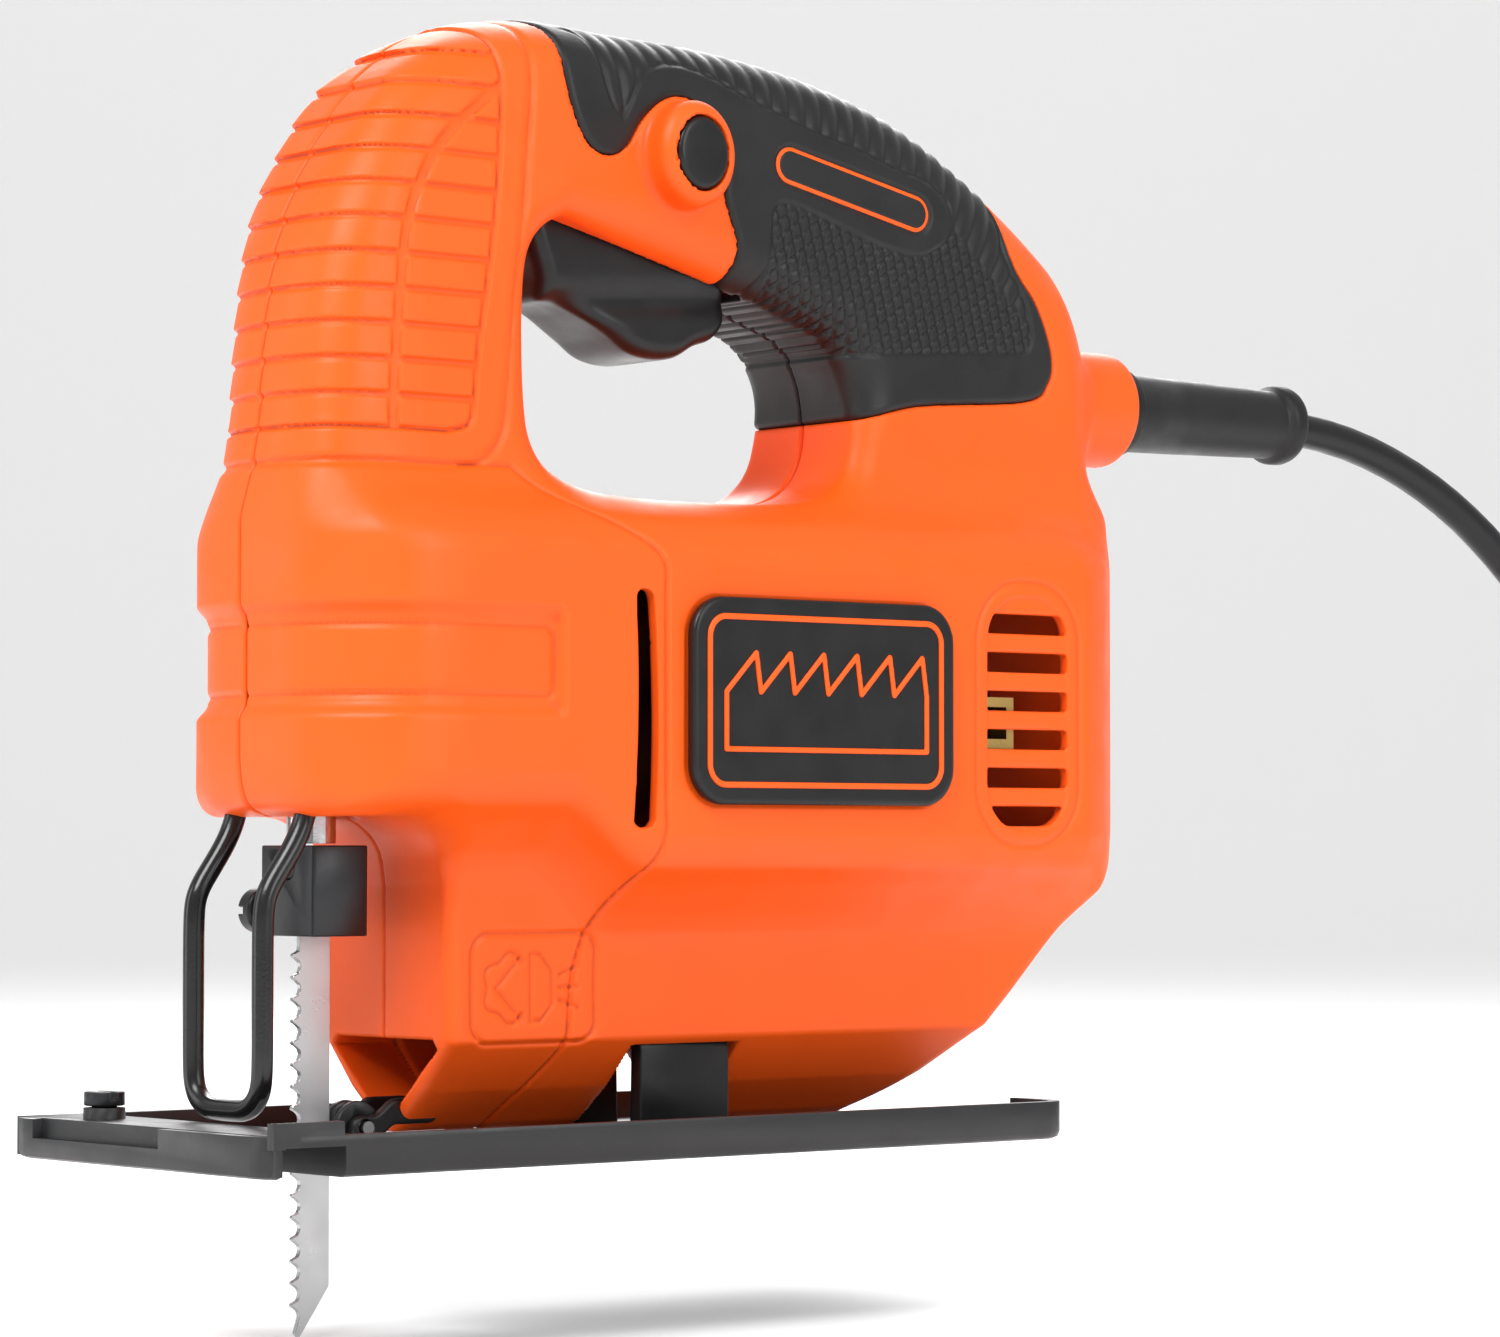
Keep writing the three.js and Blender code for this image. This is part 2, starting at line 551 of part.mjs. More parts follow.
// ---------- finger guard and guide roller ----------
const GUARD = { half: 9.84, y: -16, radius: 1.75, low: 4.3 };
const guardHalf = [
  [GUARD.half, -8, 54.4], [GUARD.half, -8.6, 53], [GUARD.half, -11.5, 48.5],
  [GUARD.half, -15.2, 43], [GUARD.half, GUARD.y, 40], [GUARD.half, GUARD.y, 25],
  [GUARD.half, GUARD.y, 12], [GUARD.half - 0.7, GUARD.y, 9], [5.8, GUARD.y, 5],
  [3, GUARD.y, GUARD.low],
];
const guardPath = [...guardHalf, ...guardHalf.slice().reverse().map(([x, y, z]) => [-x, y, z])];
add("finger_guard", along(guardPath, GUARD.radius, { sides: 10, steps: 60 }), "black");
const ROLLER_Y = 8;
const ROLLER_Z = 5;
add(
  "guide_roller",
  turned("X", [
    [1.4, -2.3], [4.3, -2.3], [4.3, -1], [3.5, -0.7], [3.5, 0.7], [4.3, 1], [4.3, 2.3], [1.4, 2.3],
    [1.4, -2.3],
  ], ROLLER_Y, ROLLER_Z, 24),
  "dark",
);
add("roller_pin", rod("X", 1.1, -5, 5, ROLLER_Y, ROLLER_Z, 16), "steel");
const arm = [
  [5.6, 3.6], [7, 2.6], [10.5, 2.8], [14.2, 7], [14.2, 34], [12.6, 34], [12.6, 15], [6, 7.4],
];
let carrier = join(
  extrude("X", arm, 2.6, 4.4),
  extrude("X", arm, -4.4, -2.6),
  box(-4.4, 4.4, 12.6, 14.2, 20, 34),
);
carrier = cut(carrier, rod("X", 1.4, -6, 6, ROLLER_Y, ROLLER_Z, 16));
add("roller_carrier", carrier, "black");

// ---------- shoe ----------
const S0 = SHOE_FRONT;
const S1 = SHOE_FRONT + SHOE_LENGTH;
const SW = SHOE_WIDTH / 2;
const CHANNEL = { front: -32, rear: -18.6, top: 6.6, sheet: 1.8 };
const shoeOutline = roundedBox(-SW, SW, S0, S1, 6);
let shoe = extrude("Z", shoeOutline, 0, SHOE_RIM + 1.4, { bevel: 1.3, segments: 2 });
shoe = cut(shoe, box(-SW - 1, SW + 1, S0 - 1, S1 + 1, SHOE_RIM, SHOE_RIM + 5));
shoe = cut(
  shoe,
  extrude("Z", roundedBox(-SW + 1.9, SW - 1.9, S0 + 1.9, S1 - 1.9, 4.2), SHOE_SHEET, SHOE_RIM + 3),
  extrude("Z", roundedBox(-CUTOUT_HALF_WIDTH, CUTOUT_HALF_WIDTH, CUTOUT_FRONT, CUTOUT_REAR, 2, 2), -1, 9),
);
shoe = join(
  shoe,
  box(-SW + 1, SW - 1, CHANNEL.front, CHANNEL.rear, 0.4, CHANNEL.top),
  box(SW - 1.9, SW - 0.1, -33, -20, 4.6, 8.6),
  rod("Z", 3.4, 5, 8.4, -21.5, -25.3, 20),
);
shoe = cut(
  shoe,
  box(-SW - 2, SW + 2, CHANNEL.front + 1.2, CHANNEL.rear - 1.2, -1, CHANNEL.top - CHANNEL.sheet),
  box(-29.6, 7.3, S0 - 1, S0 + 1.95, 3.4, 10),
  box(-24, 24, S1 - 2.2, S1 + 1, SHOE_SHEET + 0.2, 10),
  rod("Z", 2.4, -1, 12, -21.5, -25.3, 16),
  rod("Z", 5, -1, 4, 0, SADDLE_MID, 24),
);
add("shoe", shoe, "shoe");
const arc = (r, from, to, n) => {
  const out = [];
  for (let i = 0; i <= n; i++) {
    const t = ((from + ((to - from) * i) / n) * Math.PI) / 180;
    out.push([r * Math.sin(t), BEVEL_AXIS_Z + r * Math.cos(t)]);
  }
  return out;
};
const BR = SADDLE_RADIUS - 0.1;
const BI = BR - 2.6;
const FOOT = SHOE_SHEET + GAP;
const bracketOutline = [
  [16.6, FOOT], ...arc(BR, 68, -68, 24), [-16.6, FOOT], [-13.4, FOOT], ...arc(BI, -64, 64, 22),
  [13.4, FOOT],
];
let bracket = extrude("Y", bracketOutline, BRACKET_FRONT, BRACKET_REAR);
const slotArea = extrude(
  "Y",
  [...arc(24, -56, 56, 16), ...arc(8, 56, -56, 10)],
  SADDLE_MID - 2.9,
  SADDLE_MID + 2.9,
);
bracket = cut(bracket, slotArea);
add("bevel_bracket", bracket, "black");
const bevelHead = cut(
  turned("Z", [[0, 20.8], [4.4, 20.8], [4.4, 24.4], [0, 24.4]], 0, SADDLE_MID, 20),
  box(-6, 6, SADDLE_MID - 0.5, SADDLE_MID + 0.5, 20, 22),
);
add("bevel_screw", join(bevelHead, rod("Z", 2.5, 24, 38, 0, SADDLE_MID, 16)), "dark");
const fenceScrew = join(
  rod("Z", 2, 5.2, 9.2, -21.5, -25.3, 16),
  cut(rod("Z", 3.3, 8.7, 11, -21.5, -25.3, 20), box(-27, -17, -25.8, -24.8, 10, 12)),
);
add("fence_screw", fenceScrew, "dark");

// ---------- cord ----------
const relief = [
  [0, R - 10.5], [9.4, R - 10.5], [9.4, R - 7.4], [7.2, R - 7.4], [7.2, R + 12], [6.3, RELIEF_END - 5],
  [7.5, RELIEF_END - 4], [7.5, RELIEF_END - 0.8], [6.7, RELIEF_END], [0, RELIEF_END],
];
add("strain_relief", turned("Y", relief, 0, CORD_Z, 24), "black");
const RING_TOP = FLOOR_Z + 2 * COIL_SECTION;
const leadPath = [
  [0, RELIEF_END + GAP, CORD_Z], [0, RELIEF_END + 10, CORD_Z - 0.4], [0, 258, 127],
  [1, 284, 113.5], [5, 303, 92], [10, 314, 70], [17, 321, 48], [25, 328, 27],
  [32.5, COIL_Y - 15.5, 10.5], [COIL_X + 30.8, COIL_Y - 7, -0.2],
  [COIL_X + 35.2, COIL_Y + 3, RING_TOP + CORD_RADIUS + 0.6],
];
add("cord_lead", along(leadPath, CORD_RADIUS, { sides: 10, steps: 30 }), "cord");
const c = COIL_SECTION;
const bundle = roundedBox(COIL_RADIUS - c, COIL_RADIUS + c, FLOOR_Z, FLOOR_Z + 2 * c, 3, 3);
add("cord_coil", turned("Z", [...bundle, bundle[0]].map(([r, z]) => [r, -z]), COIL_X, COIL_Y, 36)
  .mirror([0, 0, 1]), "cord");
const PLUG_BACK = COIL_Y + 62;
const PLUG_Z = FLOOR_Z + 13;
const PLUG_X = COIL_RADIUS + 2 * CORD_RADIUS;
const tailStart = COIL_Y + Math.sqrt((COIL_RADIUS + c) ** 2 - (PLUG_X - CORD_RADIUS) ** 2) + 0.5;
const tailX = COIL_X + PLUG_X; // in line with the outermost turn
const tailPath = [
  [tailX, tailStart, FLOOR_Z + CORD_RADIUS + 0.4],
  [tailX - 0.6, tailStart + 8, FLOOR_Z + CORD_RADIUS + 1.5],
  [(tailX + PLUG_X) / 2, (tailStart + PLUG_BACK) / 2, (FLOOR_Z + CORD_RADIUS + PLUG_Z) / 2],
  [PLUG_X + 0.6, PLUG_BACK - 8, PLUG_Z - 1.1],
  [PLUG_X, PLUG_BACK - 0.8, PLUG_Z - 0.1],
];
add("cord_tail", along(tailPath, CORD_RADIUS, { sides: 10, steps: 10 }), "cord");
const neck = turned("Y", [
  [0, PLUG_BACK], [4.6, PLUG_BACK], [5.6, PLUG_BACK + 16], [0, PLUG_BACK + 16],
], PLUG_X, PLUG_Z, 24);
const plugFace = PLUG_BACK + 50;
const plugOutline = roundedBox(PLUG_X - 17.5, PLUG_X + 17.5, PLUG_Z - 13, PLUG_Z + 13, 11);
let plug = join(neck, extrude("Y", plugOutline, PLUG_BACK + 14, plugFace, { bevel: 2.5 }));
for (const side of [-1, 1])
  plug = cut(plug, rod("Y", 2.7, plugFace - 6, plugFace + 1, PLUG_X + side * 9.5, PLUG_Z, 16));
add("plug_body", plug, "cord");
[-1, 1].forEach((side, i) => {
  const pin = [[0, plugFace - 5.6], [2.4, plugFace - 5.6], [2.4, plugFace + 17.6], [1.6, plugFace + 19], [0, plugFace + 19]];
  add("plug_pin_" + (i + 1), turned("Y", pin, PLUG_X + side * 9.5, PLUG_Z, 16), "brass");
});

export default group;
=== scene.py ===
"""Compact corded jigsaw: the visual model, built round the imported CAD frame."""

import json
import math

import bmesh
import bpy
import numpy as np
import openvdb
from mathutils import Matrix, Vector

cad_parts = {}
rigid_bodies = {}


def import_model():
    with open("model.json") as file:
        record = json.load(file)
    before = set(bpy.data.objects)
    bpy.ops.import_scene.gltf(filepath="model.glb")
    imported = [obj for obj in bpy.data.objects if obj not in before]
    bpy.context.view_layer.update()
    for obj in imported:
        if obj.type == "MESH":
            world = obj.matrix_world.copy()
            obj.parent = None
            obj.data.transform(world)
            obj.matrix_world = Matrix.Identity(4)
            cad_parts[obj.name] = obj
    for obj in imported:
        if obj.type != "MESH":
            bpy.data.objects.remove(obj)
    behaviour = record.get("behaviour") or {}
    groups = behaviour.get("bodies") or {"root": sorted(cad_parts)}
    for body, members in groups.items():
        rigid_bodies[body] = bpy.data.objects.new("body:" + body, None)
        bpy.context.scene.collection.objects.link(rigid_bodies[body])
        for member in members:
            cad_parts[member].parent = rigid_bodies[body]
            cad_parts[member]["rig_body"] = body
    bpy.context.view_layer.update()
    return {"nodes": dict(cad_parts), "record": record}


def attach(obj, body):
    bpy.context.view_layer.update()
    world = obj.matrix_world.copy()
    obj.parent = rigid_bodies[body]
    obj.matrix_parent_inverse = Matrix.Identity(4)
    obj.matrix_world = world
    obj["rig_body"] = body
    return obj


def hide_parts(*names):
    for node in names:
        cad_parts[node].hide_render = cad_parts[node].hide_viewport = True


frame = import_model()

MM = 0.001
PLUNGER_Y = 50.0  # the plunger axis lies this far in front of the frame's origin, in mm
FLOOR_Z = -28.6
NODES = frame["nodes"]


def row(p):
    """A point in mm, with Y counted from the plunger axis, in the row frame in metres."""
    return Vector((p[0] * MM, (p[1] - PLUNGER_Y) * MM, p[2] * MM))


def link(o):
    bpy.context.scene.collection.objects.link(o)
    return o


def mesh_object(name, verts, faces, smooth=True):
    mesh = bpy.data.meshes.new(name)
    mesh.from_pydata([tuple(v) for v in verts], [], [tuple(f) for f in faces])
    mesh.validate()
    mesh.polygons.foreach_set("use_smooth", [smooth] * len(mesh.polygons))
    return link(bpy.data.objects.new(name, mesh))


# ---------- camera, light and floor ----------
def make_camera():
    cam = link(bpy.data.objects.new("camera", bpy.data.cameras.new("camera")))
    turn, pitch = math.radians(49.97), math.radians(2.184)
    look = Vector((
        -math.sin(turn) * math.cos(pitch), math.cos(turn) * math.cos(pitch), math.sin(pitch),
    ))
    cam.location = (0.6315, -0.4879, 0.050)
    cam.rotation_mode = "QUATERNION"
    cam.rotation_quaternion = look.to_track_quat("-Z", "Y")
    cam.data.sensor_width = 36.0
    cam.data.lens = 36.0 * 4735.0 / 1500.0
    cam.data.clip_start, cam.data.clip_end = 0.01, 50.0
    bpy.context.scene.camera = cam


def new_material(name, color, rough, metal=0.0):
    m = bpy.data.materials.new(name)
    m.use_nodes = True
    b = m.node_tree.nodes["Principled BSDF"]
    b.inputs["Base Color"].default_value = (*color, 1)
    b.inputs["Roughness"].default_value = rough
    b.inputs["Metallic"].default_value = metal
    return m


def make_stage():
    """A pale sweep: floor that curves up behind into a wall."""
    z0 = FLOOR_Z * MM
    profile = [(-3.0, z0), (1.6, z0)]
    for i in range(1, 13):
        t = math.radians(90 * i / 12)
        profile.append((1.6 + 1.2 * math.sin(t), z0 + 1.2 * (1 - math.cos(t))))
    profile.append((2.8, 6.0))
    a = math.radians(49.97)
    back, side = Vector((-math.sin(a), math.cos(a), 0)), Vector((math.cos(a), math.sin(a), 0))
    verts = []
    for s in (-6.0, 6.0):
        verts += [back * d + side * s + Vector((0, 0, z)) for d, z in profile]
    n = len(profile)
    sweep = mesh_object("sweep", verts, [(i, i + 1, n + i + 1, n + i) for i in range(n - 1)])
    pale = new_material("sweep", (0.93, 0.93, 0.93), 0.7)
    pale.node_tree.nodes["Principled BSDF"].inputs["Emission Color"].default_value = (1, 1, 1, 1)
    pale.node_tree.nodes["Principled BSDF"].inputs["Emission Strength"].default_value = 0.1
    sweep.data.materials.append(pale)


def area_light(name, at, toward, size, size_y, power):
    data = bpy.data.lights.new(name, "AREA")
    data.energy, data.shape, data.size, data.size_y = power, "RECTANGLE", size, size_y
    o = link(bpy.data.objects.new(name, data))
    o.location = at
    o.rotation_mode = "QUATERNION"
    o.rotation_quaternion = (Vector(toward) - Vector(at)).to_track_quat("-Z", "Y")


def make_lights():
    world = bpy.data.worlds.new("studio")
    bpy.context.scene.world = world
    world.use_nodes = True
    bg = world.node_tree.nodes["Background"]
    bg.inputs["Color"].default_value = (1, 1, 1, 1)
    bg.inputs["Strength"].default_value = 0.5
    aim = (0.0, 0.03, 0.09)
    area_light("key", (0.45, -1.05, 1.25), aim, 0.8, 0.8, 22)
    area_light("side", (1.35, 0.25, 0.75), aim, 0.6, 1.1, 9)
    area_light("rim", (-0.9, 0.75, 0.9), aim, 0.8, 0.8, 15)
    area_light("front", (-0.7, -1.1, 0.35), aim, 0.5, 1.0, 3.5)


make_camera()
make_stage()
make_lights()
bpy.context.scene.view_settings.view_transform = "Standard"

# ---------- cord ----------
CORD_RADIUS = 3.25
COIL_X, COIL_Y, RELIEF_END, CORD_Z, CORD_LENGTH = 8.0, 351.0, 227.0, 131.5, 2.05


def smoothstep(a, b, x):
    t = np.clip((x - a) / (b - a), 0, 1)
    return t * t * (3 - 2 * t)


def catmull(points, per=8, closed=False):
    """A Catmull-Rom curve through the points."""
    p = [np.array(q, float) for q in points]
    p = [p[-1], *p, p[0], p[1]] if closed else [2 * p[0] - p[1], *p, 2 * p[-1] - p[-2]]
    out = []
    for i in range(1, len(p) - 2):
        a, b, c, d = p[i - 1 : i + 3]
        for k in range(per):
            t = k / per
            out.append(0.5 * (2 * b + (c - a) * t + (2 * a - 5 * b + 4 * c - d) * t * t
                              + (3 * b - a - 3 * c + d) * t**3))
    if not closed:
        out.append(p[-2])
    return np.array(out)


def cord_points():
    """Lead from the strain relief to the coil, turn by turn from the top down, and out."""
    pitch = 2 * CORD_RADIUS
    z_of = lambda layer: FLOOR_Z + CORD_RADIUS + 0.1 + layer * (pitch + 0.03)
    lead = [
        (0, RELIEF_END - 4, CORD_Z), (0, RELIEF_END + 10, CORD_Z - 0.4), (0, 258, 127),
        (1, 284, 113.5), (5, 303, 92), (10, 314, 70), (17, 321, 48), (25, 328, 27),
        (33, COIL_Y - 14.5, 9), (39.5, COIL_Y - 6, -2.0),
    ]
    end = COIL_X + 42.5
    tail = [(end, COIL_Y + 12, z_of(0)), (end - 0.6, COIL_Y + 28, z_of(0) + 1.2),
            (end - 4, COIL_Y + 43, -20.3), (43.1, COIL_Y + 55, -16.6), (42.5, COIL_Y + 64, -15.6)]
    turns = [(36.0, 2), (29.5, 2), (29.5, 1), (36.0, 1), (42.5, 1), (29.5, 0), (36.0, 0), (42.5, 0)]
    coil, steps = [], 20
    for k, (r, layer) in enumerate(turns):
        r2, layer2 = turns[min(k + 1, len(turns) - 1)]
        for i in range(1 if k == 0 else 0, steps):
            t = i / steps
            w = float(smoothstep(0.5, 1.0, t))
            a = 2 * math.pi * t
            rr, zz = r + (r2 - r) * w, z_of(layer) + (z_of(layer2) - z_of(layer)) * w
            coil.append((COIL_X + rr * math.cos(a), COIL_Y + rr * math.sin(a), zz))
    coil.append((end, COIL_Y + 2, z_of(0)))
    return np.array([*lead, *coil, *tail])

# ---------- fields: every outline is a signed distance, in mm, negative inside ----------
def polygon_field(poly, u, v):
    """Signed distance of the points (u, v) from a closed polygon."""
    poly = np.asarray(poly, np.float32)
    best = np.full(u.shape, 1e9, np.float32)
    inside = np.zeros(u.shape, bool)
    for (a0, a1), (b0, b1) in zip(poly, np.roll(poly, -1, 0)):
        e0, e1 = b0 - a0, b1 - a1
        w0, w1 = u - a0, v - a1
        t = np.clip((w0 * e0 + w1 * e1) / max(e0 * e0 + e1 * e1, 1e-9), 0, 1)
        np.minimum(best, (w0 - t * e0) ** 2 + (w1 - t * e1) ** 2, out=best)
        if a1 != b1:
            inside ^= ((a1 <= v) != (b1 <= v)) & (u < a0 + (v - a1) * e0 / e1)
    return np.where(inside, -1, 1) * np.sqrt(best)


class Table:
    """A field over two axes, kept as a grid and read between its points."""

    def __init__(self, low, high, step, values):
        self.low, self.step = np.array(low, np.float32), step
        n = [int(math.ceil((b - a) / step)) + 1 for a, b in zip(low, high)]
        u, v = np.meshgrid(*[low[i] + np.arange(n[i]) * step for i in (0, 1)], indexing="ij")
        self.values = values(u.astype(np.float32), v.astype(np.float32)).astype(np.float32)

    def __call__(self, u, v):
        a = np.clip((u - self.low[0]) / self.step, 0, self.values.shape[0] - 1.001)
        b = np.clip((v - self.low[1]) / self.step, 0, self.values.shape[1] - 1.001)
        i, j = a.astype(np.int32), b.astype(np.int32)
        a, b, t = a - i, b - j, self.values
        low = t[i, j] * (1 - a) + t[i + 1, j] * a
        high = t[i, j + 1] * (1 - a) + t[i + 1, j + 1] * a
        return low * (1 - b) + high * b


def outline(points, per=6):
    """A closed outline, smooth through its points but sharp where a point is given twice."""
    pts = [tuple(p) for p in points]
    marks = [i for i, p in enumerate(pts) if p == pts[i - 1]]
    if not marks:
        return catmull(pts, per, closed=True)
    pts = pts[marks[0]:] + pts[: marks[0]]
    runs, run = [], [pts[0]]
    for p in pts[1:]:
        if p == run[-1]:
            runs.append(run)
            run = [p]
        else:
            run.append(p)
    run.append(pts[0])
    runs.append(run)
    return np.concatenate([catmull(r, per)[:-1] if len(r) > 2 else np.array(r[:1]) for r in runs
                           if len(r) > 1])


def rounded(r, *fields):
    """The overlap of solids, with the edge between them rounded to radius r."""
    top = fields[0]
    for f in fields[1:]:
        top = np.maximum(top, f)
    total = sum(np.maximum(f + r, 0) ** 2 for f in fields)
    return np.sqrt(total) + np.minimum(top + r, 0) - r


def joined(r, a, b):
    """Two solids joined, with the corner between them filled to radius r."""
    h = np.clip(0.5 + 0.5 * (b - a) / r, 0, 1)
    return b * (1 - h) + a * h - r * h * (1 - h)


def block(x, y, z, low, high):
    c = [(a + b) / 2 for a, b in zip(low, high)]
    h = [(b - a) / 2 for a, b in zip(low, high)]
    return np.maximum(np.maximum(abs(x - c[0]) - h[0], abs(y - c[1]) - h[1]), abs(z - c[2]) - h[2])


def slab(u, v, cu, cv, hu, hv, r):
    """Distance from a rounded rectangle."""
    a, b = abs(u - cu) - hu + r, abs(v - cv) - hv + r
    return np.hypot(np.maximum(a, 0), np.maximum(b, 0)) + np.minimum(np.maximum(a, b), 0) - r


D = lambda p: [p, p]
SIDE = [
    *D((14.5, 3)), *D((112, 3)), (121, 8.2), (131, 17.4), (143, 28.5), (155, 41), (163.5, 53),
    (168.2, 66), (170.2, 80), (170.5, 100), (170.5, 120), (170, 134), (167.5, 142),
    (161.5, 150.5), (150, 160.2), (137, 168.9), (121, 178), (104, 185.2), (86, 190),
    (68, 192.3), (46, 192), (33, 190.2), (20, 185.3), (9, 177), (1, 166.5), (-5, 155),
    (-9, 142), (-11.2, 128), (-12, 119), (-12.8, 111), (-14.2, 106.2), *D((-15.5, 103.2)),
    *D((-15.5, 65)), (-14.6, 60.5), (-12.5, 57), (-8.5, 55.3), *D((-6, 55.2)), (5, 55.2),
    (10, 53.4), (13.4, 49.5), *D((14.5, 44)),
]
HAND = [
    (46, 108.7), (37.8, 110.8), (33, 115.5), (31.2, 124), (30.9, 140), (32.6, 149.3),
    (38.5, 154.2), (46, 153.4), (80, 145), (89, 142), (97.5, 139), (102.6, 133.5),
    (104.4, 125.5), (103, 117.2), (97.6, 111.6), (88, 109.2), (75, 108.4), (60, 108.2),
]
SECTION = [
    *D((0, 2.7)), *D((10.2, 10.6)), *D((18, 18.8)), (18, 33), (19.6, 38), (24, 43.5),
    (28.6, 47.6), (30.7, 51.2), *D((31, 55)), (31, 94), (29.9, 99.4), (26.6, 104.4),
    (22.6, 108.6), (20.8, 113), *D((20.5, 118)), *D((20.5, 165)), (19.7, 174), (16.5, 182.8),
    (10.5, 189), (4, 192.2), *D((0, 192.6)),
]
BODY_PLAN = [
    *D((0, -15.5)), (10, -13.7), (18, -10.3), (25, -4.6), (29, 1.5), (30.7, 8), *D((31, 14)),
    *D((31, 146.2)), (29, 149.6), (25, 155), (18, 162.4), (9, 168.6), *D((0, 170.6)),
]
HANDLE_PLAN = [
    *D((0, -15.5)), (7, -14), (13, -9.6), (17.6, -3), (19.8, 3), *D((20.5, 9)),
    *D((20.5, 156)), (18.3, 160.5), (14, 165), (7, 169), *D((0, 170.6)),
]
GRIP_AREA = [
    (37.2, 200), (38.5, 184), (40, 173), (43.6, 166.6), (48.5, 165.2), (52.6, 167.4),
    (56.6, 172.6), (63.6, 176.6), (70.4, 174.6), (73.8, 168.6), (73.4, 161), (76.4, 152),
    (75, 143), (79, 128), (100, 124), (118, 127.5), (143.6, 129.8), (149.4, 133.6),
    (150.2, 139), (146.8, 147.5), (141, 156), (137, 176.3), (122, 190), (90, 202),
]
LOCK = (63.8, 166.6)
DUCT = [*D((0, 4.8)), *D((14.4, 17.7)), *D((13.4, 19.2)), *D((-13.4, 19.2)), *D((-14.4, 17.7))]
STEP = 0.5
def symmetric(points):
    """The outline of a mirrored shape from its x >= 0 half, run on far past x = 0."""
    return outline([*points, *D((-60.0, points[-1][1])), *D((-60.0, points[0][1]))])


side_line = outline(SIDE)
side_table = Table((-22, -4), (180, 200), STEP, lambda u, v: polygon_field(side_line, u, v))
hand_table = Table((-22, -4), (180, 200), STEP, lambda u, v: polygon_field(outline(HAND), u, v))
grip_table = Table((-22, 80), (180, 210), STEP, lambda u, v: polygon_field(outline(GRIP_AREA), u, v))
section_table = Table((-2, -14), (38, 200), STEP, lambda u, v: polygon_field(symmetric(SECTION), u, v))
body_table = Table((-2, -22), (38, 180), STEP, lambda u, v: polygon_field(symmetric(BODY_PLAN), u, v))
handle_table = Table((-2, -22), (38, 180), STEP, lambda u, v: polygon_field(symmetric(HANDLE_PLAN), u, v))
duct_table = Table((-20, 0), (20, 24), 0.25, lambda u, v: polygon_field(outline(DUCT), u, v))

# length along the front of the handle, from its foot up, for the ribbed pads
spine = catmull([(-14, 103), (-12.6, 112), (-11.2, 128), (-9, 142), (-5, 155), (1, 166.5), (9, 177),
                 (20, 185.3), (33, 190.2), (46, 192), (68, 192.3), (86, 190), (104, 185.2),
                 (121, 178), (137, 168.9), (150, 160.2), (161.5, 150.5), (172, 139)], 10)


def along_spine(u, v):
    best, s = np.full(u.shape, 1e9, np.float32), np.zeros(u.shape, np.float32)
    start = 0.0
    for a, b in zip(spine, spine[1:]):
        e = b - a
        n = float(np.hypot(*e))
        t = np.clip(((u - a[0]) * e[0] + (v - a[1]) * e[1]) / (n * n), 0, 1)
        d = (u - a[0] - t * e[0]) ** 2 + (v - a[1] - t * e[1]) ** 2
        s = np.where(d < best, start + t * n, s)
        best = np.minimum(best, d)
        start += n
    return s


spine_table = Table((-22, 90), (180, 210), STEP, along_spine)
PARTING = [(31.5, 107.8), (43.9, 101.9), (49.4, 97.2), (49.8, 90), (49.9, 60), (49.6, 51.4),
           (44.4, 41.6), (39.9, 30.4), (38.2, 17.5), (33.7, 7), (31, -6)]
parting_line = np.concatenate([catmull([(26, 112), *PARTING], 6), [(-40, -6), (-40, 112)]])
parting_table = Table((-22, -4), (180, 200), STEP, lambda u, v: polygon_field(parting_line, u, v))


def base_shape(x, y, z):
    """The outer surface without its details; x >= 0."""
    front = 1 - smoothstep(30, 48, y)
    lift = 10.5 * front * smoothstep(26, 50, z) * (1 - smoothstep(80, 100, z))
    side = side_table(y, z)
    section = section_table(x, z - lift)
    w = smoothstep(99, 113, z)
    plan = body_table(x, y) * (1 - w) + handle_table(x, y) * w
    up = smoothstep(104, 120, z)
    back = smoothstep(36, 60, y)
    r = 4.0 + (5.0 + 6.0 * back) * up + 2.5 * smoothstep(150, 168, z) * (1 - back)
    r = np.where(z < 50, 2.2 + 1.8 * smoothstep(40, 50, z), r)
    d = rounded(r, side, section, plan)
    return rounded(5.0 + 3.5 * back * smoothstep(118, 132, z), d, -hand_table(y, z))


# ---------- details of the shell ----------
INNER = [*D((-40, 116.9)), *D((14, 116.9)), (18.6, 118.4), (19.8, 123), (20.6, 131), (22.1, 140.2),
         (23.5, 149.2), (24.8, 159), (25.7, 169), (26.2, 177), (25.2, 183), (21.5, 188.5), *D((17, 200)),
         *D((-40, 200))]
OUTER = [*D((-40, 111.3)), *D((14, 111.3)), (20.6, 112.9), (24.8, 117.5), (26.1, 125), (27.3, 137),
         (28.8, 149), (30.2, 161), (31.4, 171), (32.2, 179), (32.0, 186), (30, 192), *D((27, 202)),
         *D((-40, 202))]
DIVIDER = [(3.2, 110), (3.6, 118), (4.1, 128.7), (4.9, 139), (6.2, 150), (9.2, 158), (14.6, 165.6),
           (24.2, 173.6), (30, 177.5)]
ROW_LOW, ROW_PITCH = 116.9, 5.72
inner_table = Table((-22, 90), (60, 210), STEP, lambda u, v: polygon_field(outline(INNER), u, v))
outer_table = Table((-22, 90), (60, 210), STEP, lambda u, v: polygon_field(outline(OUTER), u, v))
divider_table = Table((-22, 90), (60, 210), STEP, lambda u, v: abs(polygon_field(
    np.concatenate([catmull(DIVIDER, 6), [(30, 260), (-60, 260), (-60, 110)]]), u, v)))
